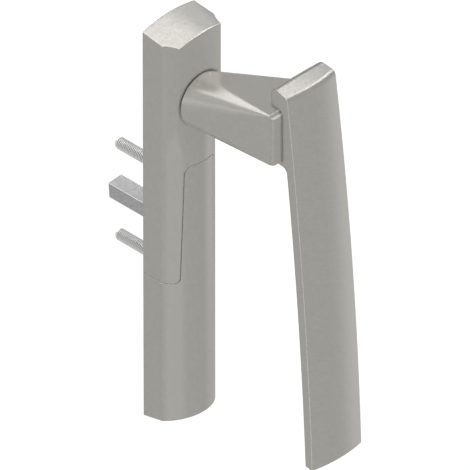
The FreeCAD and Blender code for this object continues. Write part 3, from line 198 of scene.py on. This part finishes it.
floor_shape = bmesh.new()
bmesh.ops.create_grid(floor_shape, x_segments=1, y_segments=1, size=FLOOR_HALF)
bmesh.ops.translate(floor_shape, verts=floor_shape.verts,
                    vec=(0, 0, cad_low.z - FLOOR_DROP))
floor_mesh = bpy.data.meshes.new("floor")
floor_shape.to_mesh(floor_mesh)
floor_shape.free()
floor = bpy.data.objects.new("floor", floor_mesh)
bpy.context.scene.collection.objects.link(floor)
floor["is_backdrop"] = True
floor.visible_diffuse = False
floor.visible_glossy = False

print("floor at", round(cad_low.z - FLOOR_DROP, 3), "m")

# %% [markdown]
# ## The floor's glass
# A light table is opal glass lit from below: matt and white, with no grain that the eye
# could catch. What is the same all over a material is set on the shader's own sockets,
# and one function starts every material in that way. Patterns are linked in later.

# %% White glass
FLOOR_GLOW = 0.92


def new_finish(name, **plain):
    """A material whose shader has some plain values set, by the names of its sockets."""
    material = bpy.data.materials.new(name)
    material.use_nodes = True
    shader = material.node_tree.nodes["Principled BSDF"]
    for socket, amount in plain.items():
        shader.inputs[socket.replace("_", " ")].default_value = amount
    return material, material.node_tree, shader


white_glass, _, _ = new_finish("light_table_white", Base_Color=linear("808080"),
                               Roughness=0.9, Emission_Color=linear("FFFFFF"),
                               Emission_Strength=FLOOR_GLOW)
floor_mesh.materials.append(white_glass)
print("floor's material:", white_glass.name)

# %% [markdown]
# ## Soft lamps
# Each face of the metal mirrors one direction of the studio, so each lamp is a bright
# panel in the direction that some face needs. The ceiling panel is what flat tops
# mirror, and panels beside it are what tops mirror that tilt to the back or the front.
# Low panels lift the upright faces, and two panels half way up are seen only by the
# rounded edges under the top, which turn into thin bright lines. The panels show in
# reflections alone: the even light of the room does the rest.

# %% Soft lamps
# name: (place, aim, width, depth, watts), lengths in metres
LAMPS = {
    "overhead": ((-0.02, 0.3, 1.2), (-0.02, 0.3, 0), 1.66, 1.8, 32.5),
    "front_gloss": ((-0.3, -0.3, -0.36), (0, -0.03, 0), 0.4, 0.3, 0.16),
    "right_gloss": ((0.7, -0.3, -0.33), (0, -0.05, 0.02), 0.4, 0.4, 0.2),
    "grip_gloss": ((0.65, -0.3, -0.33), (0, -0.05, 0.02), 0.4, 0.4, 0.33),
    "back_gloss": ((1.85, 1.35, 1.2), (1.85, 1.35, 0), 1.5, 1.1, 9.5),
    "rim_gloss": ((1.0, -0.25, 1.2), (1.0, -0.25, 0), 0.5, 0.7, 7),
    "neck_gloss": ((-0.05, 0.92, 1.2), (-0.05, 0.92, 0), 1.5, 0.8, 13),
    "neck_streak": ((-1.3, 0.88, 0.06), (0, -0.04, 0.07), 0.35, 0.35, 2.6),
    "front_edge_gloss": ((1.3, -1.2, 1.1), (0, 0, 0.1), 1.6, 1.6, 48),
    "left_edge_gloss": ((-1.2, 1.2, 1.2), (0, 0, 0.1), 1.2, 1.2, 28),
}
CEILING_TURN = math.radians(-20)    # its edge then crosses the housing's top aslant


def softbox(name, place, aim, width, depth, watts):
    """A rectangular lamp, aimed at a point, that shows in reflections only."""
    light = bpy.data.lights.new(name, "AREA")
    light.shape = "RECTANGLE"
    light.size = width
    light.size_y = depth
    light.energy = watts
    lamp = bpy.data.objects.new(name, light)
    lamp.location = place
    lamp.rotation_mode = "QUATERNION"
    lamp.rotation_quaternion = (Vector(aim) - Vector(place)).to_track_quat("-Z", "Y")
    lamp.visible_diffuse = False
    bpy.context.scene.collection.objects.link(lamp)
    return lamp


lamps = {name: softbox(name, *facts) for name, facts in LAMPS.items()}
lamps["overhead"].rotation_mode = "XYZ"
lamps["overhead"].rotation_euler = (0, 0, CEILING_TURN)
print("soft lamps:", len(lamps))

# %% [markdown]
# ## A lamp for one piece
# In a real studio a small flag of black card keeps a lamp off a piece. Light linking
# does that without the card: each lamp here names the pieces that it may light. The
# ceiling panel does the opposite and leaves out the neck, whose top stays grey and is
# crossed by streaks from lamps of its own.

# %% Light linking
LIT_PIECES = {
    "neck_gloss": ("neck",),
    "neck_streak": ("neck",),
    "back_gloss": ("housing",),
    "front_edge_gloss": ("housing",),
    "left_edge_gloss": ("housing",),
    "right_gloss": ("housing", "screw_cover", "neck"),
    "grip_gloss": ("grip",),
}


def light_only(lamp, names):
    """Lets a lamp reach only some of the CAD pieces, and returns the list of them."""
    lit = bpy.data.collections.new(f"lit_by_{lamp.name}")
    for name in names:
        lit.objects.link(nodes[name])
    lamp.light_linking.receiver_collection = lit
    return lit


for name, pieces in LIT_PIECES.items():
    light_only(lamps[name], pieces)
left_out = light_only(lamps["overhead"], ("neck",))
left_out.collection_objects[0].light_linking.link_state = "EXCLUDE"
print("lamps with pieces of their own:", sorted(LIT_PIECES))

# %% [markdown]
# ## Even light on upright faces
# Upright faces keep one even grey in the picture, whichever way they turn. A ring of
# eight weak suns, level with the part, gives them that. Suns without shadows and out of
# every reflection are honest fill light: they brighten the paint-like part of the finish
# and draw nothing on the metal. One more from straight above makes up on the neck's top
# for the ceiling panel that it doesn't see.

# %% Fill light
RING = 8
RING_LIGHT = 1.1
NECK_TOP_LIGHT = 2.3


def fill_sun(name, strength, turned):
    """Parallel light without shadows that shows in no reflection."""
    light = bpy.data.lights.new(name, "SUN")
    light.energy = strength
    light.use_shadow = False
    lamp = bpy.data.objects.new(name, light)
    lamp.rotation_euler = turned
    lamp.visible_glossy = False
    bpy.context.scene.collection.objects.link(lamp)
    return lamp


for step in range(RING):
    fill_sun(f"ring_fill_{step}", RING_LIGHT, (math.pi / 2, 0, 2 * math.pi * step / RING))
light_only(fill_sun("neck_top_fill", NECK_TOP_LIGHT, (0, 0, 0)), ("neck",))
print("fill suns:", RING + 1)

# %% [markdown]
# ## Edges and joints
# Two things make metal pieces look real close up: the thin highlights along their corners,
# and the shade in the crack where two pieces meet. Both could be modelled, but they are
# finer than the mesh, so both are painted into the colour. A bevel node gives the normal
# that a rounded corner would have: where it leaves the face's own normal, there is a
# corner. An occlusion node tells how much open air lies round a spot: where there is
# little, a neighbour is near, and there the colour gets painted shade.

# %% Corner masks and painted crack shade
CORNER_BEGINS = 0.985         # how alike the two normals are where the rubbing begins
NODE_SAMPLES = 8              # how often the bevel and occlusion nodes look round


def rounded_corners(tree, radius, corner_ends, strength):
    """The rounded normal, and a mask that grows to a strength along the corners."""
    face = add_node(tree, "ShaderNodeNewGeometry").outputs["Normal"]
    corner = add_node(tree, "ShaderNodeBevel", Radius=radius, samples=NODE_SAMPLES)
    rounded = corner.outputs["Normal"]
    alike = add_node(tree, "ShaderNodeVectorMath", {0: rounded, 1: face},
                     operation="DOT_PRODUCT")
    mask = add_node(tree, "ShaderNodeMapRange", {"Value": alike.outputs["Value"]},
                    From_Min=CORNER_BEGINS, From_Max=corner_ends,
                    To_Min=0.0, To_Max=strength)
    return rounded, mask.outputs["Result"]


def painted_crack_shade(tree, colour, reach, shut, clear, darkest):
    """The colour with painted shade, darker where the air round it goes from clear to
    shut.
    """
    air = add_node(tree, "ShaderNodeAmbientOcclusion", Distance=reach,
                   samples=NODE_SAMPLES)
    shade = add_node(tree, "ShaderNodeMapRange", {"Value": air.outputs["AO"]},
                     From_Min=shut, From_Max=clear, To_Min=darkest, To_Max=1.0)
    shaded = add_node(tree, "ShaderNodeMix", {"A": colour, "B": shade.outputs["Result"]},
                      data_type="RGBA", blend_type="MULTIPLY", Factor=1.0)
    return shaded.outputs["Result"]


print("samples of the bevel and occlusion nodes:", NODE_SAMPLES)

# %% [markdown]
# ## The grain of blasted zinc
# The visible pieces are zinc castings, blasted with fine grit. Each pit catches the
# light by itself, and to the eye that is a fine grain: some spots shine more like metal,
# others stay dull. It is a noise that varies how metallic the surface is and, a little,
# its colour. It shows most on tops, which face the ceiling panel, so the noise grows
# stronger the more a face looks up. A picture of the grain would show its tiling.

# %% Blasted grain
GRAIN = 0.6 * MM              # real grit is finer; drawn this coarse so that it shows
UPRIGHT_GRAIN = (0.30, 0.50)  # how metallic the dullest and the keenest spots are
TOP_GRAIN = (0.27, 0.53)      # the same on faces that look up
DULL_SPOT, KEEN_SPOT = "92908B", "9A9893"    # warm light greys, a shade apart


def blasted_grain(tree, shader, lift):
    """Grain in the metal. Returns the grit itself and the colour that it gives."""
    spot = add_node(tree, "ShaderNodeTexCoord").outputs["Object"]
    grit = add_node(tree, "ShaderNodeTexNoise", {"Vector": spot},
                    Scale=1 / GRAIN, Detail=1.0, Roughness=0.6).outputs["Fac"]
    dull, keen = (add_node(tree, "ShaderNodeMapRange", {"Value": lift},
                           From_Min=0.3, From_Max=0.9, To_Min=upright, To_Max=top)
                  for upright, top in zip(UPRIGHT_GRAIN, TOP_GRAIN))
    metal = add_node(tree, "ShaderNodeMapRange",
                     {"Value": grit, "To Min": dull.outputs["Result"],
                      "To Max": keen.outputs["Result"]}, From_Min=0.4, From_Max=0.6)
    tree.links.new(metal.outputs["Result"], shader.inputs["Metallic"])
    colour = add_node(tree, "ShaderNodeMix", {"Factor": grit}, data_type="RGBA",
                      A=linear(DULL_SPOT), B=linear(KEEN_SPOT))
    return grit, colour.outputs["Result"]


print("grain in mm:", GRAIN / MM)

# %% [markdown]
# ## Painted corner light
# A corner that looks up gets a painted highlight, so it shows as a thin bright line. A
# corner that looks into a joint gets painted shade and shows as a dark line. The mask of
# all corners is there already, and what is left is to say which tone a corner has, from
# the way that its rounded normal points.

# %% Painted corner highlights and shade
# painted highlight for corners that look up, painted shade for corners in a joint
PAINTED_HIGHLIGHT, PAINTED_JOINT_SHADE = "E8E6E0", "4A4945"


def paint_corner_light(tree, colour, rounded, corner_mask, lift, upright_shine, joint_side):
    """The colour, with a painted highlight on corners that look up and painted shade on
    those towards a joint.
    """
    catch = add_node(tree, "ShaderNodeMapRange", {"Value": lift},
                     From_Min=0.1, From_Max=0.45, To_Min=upright_shine, To_Max=1.0)
    # painted highlight, the stronger the more the corner looks up
    bright = add_node(tree, "ShaderNodeMix",
                      {"Factor": catch.outputs["Result"], "A": colour},
                      data_type="RGBA", B=linear(PAINTED_HIGHLIGHT))
    # painted shade on the corners that turn towards the joint
    inward = add_node(tree, "ShaderNodeVectorMath", {0: rounded, 1: joint_side},
                      operation="DOT_PRODUCT")
    hidden = add_node(tree, "ShaderNodeMapRange", {"Value": inward.outputs["Value"]},
                      From_Min=0.12, From_Max=0.24)
    tone = add_node(tree, "ShaderNodeMix",
                    {"Factor": hidden.outputs["Result"], "A": bright.outputs["Result"]},
                    data_type="RGBA", B=linear(PAINTED_JOINT_SHADE))
    painted_corners = add_node(tree, "ShaderNodeMix",
                    {"Factor": corner_mask, "A": colour, "B": tone.outputs["Result"]},
                    data_type="RGBA")
    return painted_corners.outputs["Result"]


print("corner tones:", PAINTED_HIGHLIGHT, PAINTED_JOINT_SHADE)

# %% [markdown]
# ## Satin silver
# After blasting, the castings are lacquered in satin silver. To the eye that is a warm
# grey, half metal and half paint, that mirrors the studio only in broad soft tones: a
# low roughness would turn it to chrome, and a high one to plain paint. Each piece meets
# its neighbours from another side, so each has a variant that knows on which side of its
# corners the painted joint shade lies.

# %% Satin silver
SATIN = 0.28                  # roughness
PIT_DEPTH = 0.02 * MM
EDGE = 0.5 * MM               # the radius that blasting leaves on a corner
CORNER_REACH = 0.35 * MM            # how far from a corner the painted highlight and joint shade reach
SEAM = 1.8 * MM               # how far from a joint its shade reaches
UP = (0, 0, 1)
TO_WINDOW = (0, 1, 0)
HOUSING_SEAM = (0.5, 0, -0.87)    # down and to the right, where the cover begins
COVER_SEAM = (-0.5, 0, -0.87)     # down and to the left, on the cover's own side


def satin_silver(name, upright_shine, joint_side):
    """Blasted, lacquered zinc, with painted highlights on corners that look up. Corners
    that turn to joint_side lie inside a joint and get painted shade.
    """
    material, tree, shader = new_finish(name, Roughness=SATIN)
    rounded, corner_mask = rounded_corners(tree, CORNER_REACH, corner_ends=0.86, strength=0.9)
    lift = add_node(tree, "ShaderNodeVectorMath", {0: rounded, 1: UP},
                    operation="DOT_PRODUCT").outputs["Value"]
    grit, colour = blasted_grain(tree, shader, lift)
    # painted highlights on corners that look up, painted shade on corners in the joint
    painted_corners = paint_corner_light(tree, colour, rounded, corner_mask, lift, upright_shine, joint_side)
    # painted shade where a neighbouring piece is near
    shaded = painted_crack_shade(tree, painted_corners, SEAM, shut=0.1, clear=0.9, darkest=0.2)
    tree.links.new(shaded, shader.inputs["Base Color"])
    soft_edge = add_node(tree, "ShaderNodeBevel", Radius=EDGE, samples=6)
    pits = add_node(tree, "ShaderNodeBump",
                    {"Height": grit, "Normal": soft_edge.outputs["Normal"]},
                    Strength=0.2, Distance=PIT_DEPTH)
    tree.links.new(pits.outputs["Normal"], shader.inputs["Normal"])
    return material


silver = satin_silver("satin_silver_casting", 0.1, HOUSING_SEAM)
neck_silver = satin_silver("satin_silver_neck", 0.1, TO_WINDOW)
grip_silver = satin_silver("satin_silver_grip", 0.9, TO_WINDOW)
cover_silver = satin_silver("satin_silver_cover", 0.2, COVER_SEAM)
print("nodes in a silver:", len(silver.node_tree.nodes))

# %% [markdown]
# ## Polish and drawing lines
# No steel part is polished evenly: turning, plating and handling leave patches that
# shine more than others. A bar that was pulled through a die also keeps faint lines
# along it. Both are noises, a broad one in the roughness and a fine one, stretched along
# the spindle, in the colour.

# %% Steel surface
STREAK_WIDTH = 0.3 * MM       # real drawing lines are finer; drawn so that they show
STREAK_STRETCH = (1.0, 0.2, 1.0)    # makes them five times as long along the spindle


def polish_patches(tree, shader, spot, roughness, patch):
    """Lets the roughness wander by a fifth, in patches of a given width."""
    patches = add_node(tree, "ShaderNodeTexNoise", {"Vector": spot},
                       Scale=1 / patch, Detail=3.0)
    polish = add_node(tree, "ShaderNodeMapRange", {"Value": patches.outputs["Fac"]},
                      From_Min=0.3, From_Max=0.7,
                      To_Min=roughness * 0.8, To_Max=roughness * 1.2)
    tree.links.new(polish.outputs["Result"], shader.inputs["Roughness"])


def drawn_lines(tree, spot, colour, depth):
    """The colour with darker and lighter lines along the spindle's way."""
    stretched = add_node(tree, "ShaderNodeMapping", {"Vector": spot}, Scale=STREAK_STRETCH)
    lines = add_node(tree, "ShaderNodeTexNoise", {"Vector": stretched.outputs["Vector"]},
                     Scale=1 / STREAK_WIDTH, Detail=2.0)
    darker, lighter = (tuple(gain * c for c in linear(colour)[:3]) + (1.0,)
                       for gain in (1 - depth, 1 + depth))
    drawn = add_node(tree, "ShaderNodeMix", {"Factor": lines.outputs["Fac"]},
                     data_type="RGBA", A=darker, B=lighter)
    return drawn.outputs["Result"]


print("drawing lines in mm:", STREAK_WIDTH / MM)

# %% [markdown]
# ## Steel and zinc plate
# The spindle and the gears are cold-drawn steel, grey and streaked, with edges rubbed
# bare and painted white as a highlight. The screws are bright zinc plated, nearly white,
# and the closing plate is dull zinc plated, a cloudy grey. The detent's ball, its spring
# and the wave washer are polished spring steel and glint, and the grub screw in the neck
# is black oxide, almost without colour. The valleys of threads and teeth are darkened
# with painted shade. One function makes them all, because they differ only in how strong
# each of these marks is.

# %% Steels
STEEL_METAL = 0.55            # less than bare metal: a thin coat or oil lies on it
VALLEY = 0.5 * MM             # how far the shade of a valley reaches up its flank
STEEL_EDGE = 0.4 * MM         # the radius of a steel edge
THREAD_EDGE = 0.04 * MM       # a thread's edge is sharp, or its flanks would blur
# steel corners rubbed bare and painted white as a highlight
RUBBED_SHINING_STEEL = "FAFAFA"


def steel(name, colour, roughness, patch, edge_shine, line_depth, edge=STEEL_EDGE):
    """Steel with patches of polish, drawing lines, edges rubbed and painted bright as a
    highlight, and painted shade in its valleys.
    """
    material, tree, shader = new_finish(name, Metallic=STEEL_METAL)
    spot = add_node(tree, "ShaderNodeTexCoord").outputs["Object"]
    polish_patches(tree, shader, spot, roughness, patch)
    drawn = drawn_lines(tree, spot, colour, line_depth)
    rounded, corner_mask = rounded_corners(tree, edge, corner_ends=0.88, strength=edge_shine)
    # edges rubbed bare and painted bright as a highlight
    painted_corners = add_node(tree, "ShaderNodeMix", {"Factor": corner_mask, "A": drawn},
                    data_type="RGBA", B=linear(RUBBED_SHINING_STEEL))
    # painted shade in the valleys of threads and teeth
    valley_shaded = painted_crack_shade(tree, painted_corners.outputs["Result"], VALLEY,
                        shut=0.55, clear=1.0, darkest=0.12)
    tree.links.new(valley_shaded, shader.inputs["Base Color"])
    tree.links.new(rounded, shader.inputs["Normal"])
    return material


zinc_plate = steel("bright_zinc_plate", "DCDCDA", roughness=0.30, patch=4.0 * MM,
                   edge_shine=0.0, line_depth=0.06, edge=THREAD_EDGE)
dull_zinc = steel("dull_zinc_plate", "A4A6A8", roughness=0.42, patch=4.0 * MM,
                  edge_shine=0.0, line_depth=0.06)
gear_steel = steel("cold_drawn_steel", "9C9C9C", roughness=0.42, patch=1.2 * MM,
                   edge_shine=1.0, line_depth=0.5)
spring_steel = steel("polished_spring_steel", "B8B8BC", roughness=0.2, patch=1.0 * MM,
                     edge_shine=0.3, line_depth=0.1)
dark_steel = steel("black_oxide_steel", "34332F", roughness=0.35, patch=1.0 * MM,
                   edge_shine=0.3, line_depth=0.2)
print("nodes in a steel:", len(zinc_plate.node_tree.nodes))

# %% [markdown]
# ## Plastics
# The bushes and the rack's liner are moulded acetal, which runs on metal without oil.
# The mould leaves a faint satin skin, so the plastic has one even tone and a soft, broad
# shine. The ring behind the neck's collar is dark, and the hidden ones keep the pale
# natural colour.

# %% Plastics
SKIN_WAVE = 0.5 * MM          # how far apart the waves of a satin mould lie
SKIN_DEPTH = 0.02 * MM


def moulded(name, colour, roughness):
    """Moulded plastic with a faint satin skin."""
    material, tree, shader = new_finish(name, Base_Color=linear(colour),
                                        Roughness=roughness)
    spot = add_node(tree, "ShaderNodeTexCoord").outputs["Object"]
    skin = add_node(tree, "ShaderNodeTexNoise", {"Vector": spot}, Scale=1 / SKIN_WAVE)
    bump = add_node(tree, "ShaderNodeBump", {"Height": skin.outputs["Fac"]},
                    Strength=0.05, Distance=SKIN_DEPTH)
    tree.links.new(bump.outputs["Normal"], shader.inputs["Normal"])
    return material


dark_acetal = moulded("dark_acetal", "1C1C1E", 0.5)
pale_acetal = moulded("natural_acetal", "B4B1A8", 0.45)
print("plastics:", dark_acetal.name, pale_acetal.name)

# %% [markdown]
# ## Dressing the CAD pieces
# The record gives each piece a slot, and each slot has its finish. Four pieces get a
# variant of theirs, because their corners or their use differ. Of the CAD pieces only
# the housing is seen in reflections: in the neck its image is the soft grey at the
# collar, but the small pieces would throw dark blots on one another.

# %% Dress the pieces
FINISHES = {
    "satin_silver": silver,
    "zinc_plate": zinc_plate,
    "gear_steel": gear_steel,
    "spring_steel": spring_steel,
    "dark_steel": dark_steel,
    "dark_plastic": dark_acetal,
    "pale_plastic": pale_acetal,
}
OWN_FINISHES = {
    "neck": neck_silver,
    "grip": grip_silver,
    "screw_cover": cover_silver,
    "base_plate": dull_zinc,
}
MIRRORED = "housing"

for entry in frame["record"]["subparts"]:
    name = entry["node"]
    node = nodes[name]
    node.data.materials.clear()
    node.data.materials.append(OWN_FINISHES.get(name, FINISHES[entry["material_slot"]]))
    node.visible_glossy = name == MIRRORED

# %% [markdown]
# ## Cross recesses
# The punch that heads a screw leaves a cross in its crown, a little narrower at the
# floor. The crown starts as a flat disc. Cutting it along eight planes draws the outline
# of a cross in it, and the faces inside that outline are pushed in and drawn together.
# A boolean cut would do it too, but it leaves long thin faces that shade badly.

# %% Cross recess
CROSS_TAPER = 0.75            # how wide the recess still is at its floor


def sink_cross(shape, arm, half_width, depth):
    """Cuts the outline of a cross in the crown and pushes the cross in."""
    for across in (Vector((1, 0, 0)), Vector((0, 0, 1))):
        for offset in (-arm, -half_width, half_width, arm):
            bmesh.ops.bisect_plane(
                shape, geom=shape.verts[:] + shape.edges[:] + shape.faces[:],
                plane_co=across * offset, plane_no=across)
    cross = []
    for face in shape.faces:
        spot = face.calc_center_median()
        near, far = sorted((abs(spot.x), abs(spot.z)))
        if near < half_width and far < arm:
            cross.append(face)
    sunk = bmesh.ops.extrude_face_region(shape, geom=cross)["geom"]
    bmesh.ops.delete(shape, geom=cross, context="FACES")
    verts = [item for item in sunk if isinstance(item, bmesh.types.BMVert)]
    bmesh.ops.translate(shape, verts=verts, vec=(0, depth, 0))
    bmesh.ops.scale(shape, verts=verts, vec=(CROSS_TAPER, 1, CROSS_TAPER))


print("recess narrows to", CROSS_TAPER)

# %% [markdown]
# ## Screw body
# A real screw is one closed skin of metal, headed and rolled from wire. Here the crown's
# rim is drawn out ring by ring: over the head, down the shank, to the tip, where the
# last ring is filled. One skin has no wall inside, and a list of radii and places says
# at a glance what the screw looks like.

# %% Screw body
HEAD_STEPS = 48               # corners round a head


def grow_rim(shape, scale, along):
    """Draws the open rim out to a new ring."""
    rim = [edge for edge in shape.edges if edge.is_boundary]
    grown = bmesh.ops.extrude_edge_only(shape, edges=rim)["geom"]
    verts = [item for item in grown if isinstance(item, bmesh.types.BMVert)]
    bmesh.ops.scale(shape, verts=verts, vec=(scale, 1, scale))
    bmesh.ops.translate(shape, verts=verts, vec=(0, along, 0))


def screw_body(rings, cross):
    """A screw whose crown lies at the origin and faces -Y. Rings are (radius, place)."""
    shape = bmesh.new()
    radius, place = rings[0]
    bmesh.ops.create_circle(shape, cap_ends=True, segments=HEAD_STEPS, radius=radius,
                            matrix=Matrix.Rotation(math.pi / 2, 4, "X"))
    sink_cross(shape, *cross)
    for next_radius, next_place in rings[1:]:
        grow_rim(shape, next_radius / radius, next_place - place)
        radius, place = next_radius, next_place
    bmesh.ops.holes_fill(shape, edges=[e for e in shape.edges if e.is_boundary])
    return shape


print("corners round a head:", HEAD_STEPS)

# %% [markdown]
# ## Putting a screw in its place
# Both kinds of screw are finished alike. Points that meet are welded, the faces are
# turned outwards, and the mesh is moved to its place while its object stays at the
# origin. The screw rides the housing's body and takes the finish of the zinc plate slot,
# and the CAD piece that it stands for is hidden.

# %% Finish a screw
WELD = 0.005 * MM             # points nearer than this are one point
SCREW_SLOT = "zinc_plate"


def finish_screw(shape, name, centre, node):
    """Puts a screw in its place in its mesh and lets it stand for a CAD piece."""
    bmesh.ops.remove_doubles(shape, verts=shape.verts, dist=WELD)
    bmesh.ops.recalc_face_normals(shape, faces=shape.faces)
    print(name, "open edges", sum(not edge.is_manifold for edge in shape.edges))
    bmesh.ops.translate(shape, verts=shape.verts, vec=centre)
    mesh = bpy.data.meshes.new(name)
    shape.to_mesh(mesh)
    shape.free()
    mesh.materials.append(FINISHES[SCREW_SLOT])
    screw = bpy.data.objects.new(name, mesh)
    bpy.context.scene.collection.objects.link(screw)
    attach(screw, "housing")
    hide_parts(node)
    print(name, "faces", len(mesh.polygons))


print("a screw's points are welded within", WELD / MM, "mm")

# %% [markdown]
# ## Threads
# The fixing screws show their thread behind the housing. A thread is one small ridge
# wound round the axis, rolled into the wire in a single pass. Spin does the same: it
# turns the ridge's outline and lifts it at the same time, and because the outline is one
# pitch wide, each turn joins the next. Only the first and the last turn keep a free
# border, which lies on the core: those are the open edges that the next cell prints.

# %% Thread
THREAD_PITCH = 0.8 * MM
THREAD_RADIUS = 2.5 * MM
CORE_RADIUS = 2.15 * MM
THREAD_STEPS = 32             # spin steps to a turn
RIDGE = ((CORE_RADIUS, 0.0), (THREAD_RADIUS, 0.42), (THREAD_RADIUS, 0.58),
         (CORE_RADIUS, 1.0))  # radius, and share of the pitch


def wind_thread(shape, start, turns):
    """Winds the ridge round the Y axis from a place on it."""
    verts = [shape.verts.new((r, start + share * THREAD_PITCH, 0)) for r, share in RIDGE]
    edges = [shape.edges.new(pair) for pair in zip(verts, verts[1:])]
    bmesh.ops.spin(shape, geom=verts + edges, cent=(0, 0, 0), axis=(0, 1, 0),
                   dvec=(0, THREAD_PITCH / THREAD_STEPS, 0), angle=2 * math.pi * turns,
                   steps=THREAD_STEPS * turns, use_merge=False)


print("thread pitch in mm:", THREAD_PITCH / MM)

# %% [markdown]
# ## Fixing screws
# The two long screws hold the handle on the window. Their heads lie under the sliding
# cover, rounded at the rim, and their shanks are plain inside the housing and threaded
# from the mounting plane on, with a chamfered tip. Place, length and the head's width
# come from the CAD pieces that they stand for, so they follow if those change.

# %% Threaded fixing screws
HEAD_HEIGHT = 2.8 * MM
HEAD_ROUND = 0.9 * MM         # how far the head's rim is rounded
ROUND_MIDDLE = 0.3            # where a ring in the middle of that rounding lies
SHANK_RADIUS = 2.2 * MM
TIP_CHAMFER = 0.7 * MM
FIXING_CROSS = (2.4 * MM, 0.55 * MM, 1.9 * MM)    # arm, half width, depth

for place in ("upper", "lower"):
    low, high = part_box(f"{place}_fixing_screw")
    head = (high.x - low.x) / 2
    length = high.y - low.y
    outside = -low.y              # where the mounting plane lies along the screw
    fixing = screw_body([
        (head - HEAD_ROUND, 0),
        (head - ROUND_MIDDLE * HEAD_ROUND, ROUND_MIDDLE * HEAD_ROUND),
        (head, HEAD_ROUND), (head, HEAD_HEIGHT),
        (SHANK_RADIUS, HEAD_HEIGHT), (SHANK_RADIUS, outside),
        (CORE_RADIUS, outside), (CORE_RADIUS, length - TIP_CHAMFER),
        (CORE_RADIUS - TIP_CHAMFER, length)], FIXING_CROSS)
    turns = math.floor((length - outside - THREAD_PITCH) / THREAD_PITCH) - 1
    wind_thread(fixing, outside, turns)
    middle = Vector(((low.x + high.x) / 2, low.y, (low.z + high.z) / 2))
    finish_screw(fixing, f"{place}_threaded_screw", middle, f"{place}_fixing_screw")

# %% [markdown]
# ## Plate screws
# The closing plate at the back is held by four countersunk screws. They stand in a row,
# so one screw is modelled and copied to each height inside a single mesh. Their heads
# turn the other way, out of the back. Their threads are hidden in the casting, so they
# stay plain.

# %% Plate screws
PLATE_HEAD = 2.75 * MM
PLATE_SHANK = 1.5 * MM
PLATE_TIP = 0.9 * MM
CONE_DEPTH = 1.3 * MM
TIP_LENGTH = 0.6 * MM
PLATE_CROSS = (1.75 * MM, 0.42 * MM, 1.1 * MM)    # arm, half width, depth
END_INSET = 2.8 * MM          # from the row's ends to the outer screws' axes
INNER_HEIGHT = 44 * MM        # the inner screws' distance from the spindle's axis

low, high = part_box("plate_screws")
length = high.y - low.y
heights = (high.z - END_INSET, INNER_HEIGHT, -INNER_HEIGHT, low.z + END_INSET)
row = bmesh.new()
for height in heights:
    single = screw_body([(PLATE_HEAD, 0), (PLATE_SHANK, CONE_DEPTH),
                         (PLATE_SHANK, length - TIP_LENGTH), (PLATE_TIP, length)],
                        PLATE_CROSS)
    bmesh.ops.rotate(single, verts=single.verts, cent=(0, 0, 0),
                     matrix=Matrix.Rotation(math.pi, 3, "Z"))
    bmesh.ops.translate(single, verts=single.verts, vec=(0, high.y, height))
    spare = bpy.data.meshes.new("single_plate_screw")
    single.to_mesh(spare)
    single.free()
    row.from_mesh(spare)
    bpy.data.meshes.remove(spare)
finish_screw(row, "recessed_plate_screws", (0, 0, 0), "plate_screws")

# %% [markdown]
# ## Sizes
# The dressed model has to stay inside the CAD model's box, so both boxes are written
# down and can be compared. Nothing here makes the part bigger: the screws' threads reach
# no further than the plain cylinders that they stand for.

# %% Write the sizes and finish
low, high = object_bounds()
print("visual box in mm:", [round(1000 * (b - a), 1) for a, b in zip(low, high)])
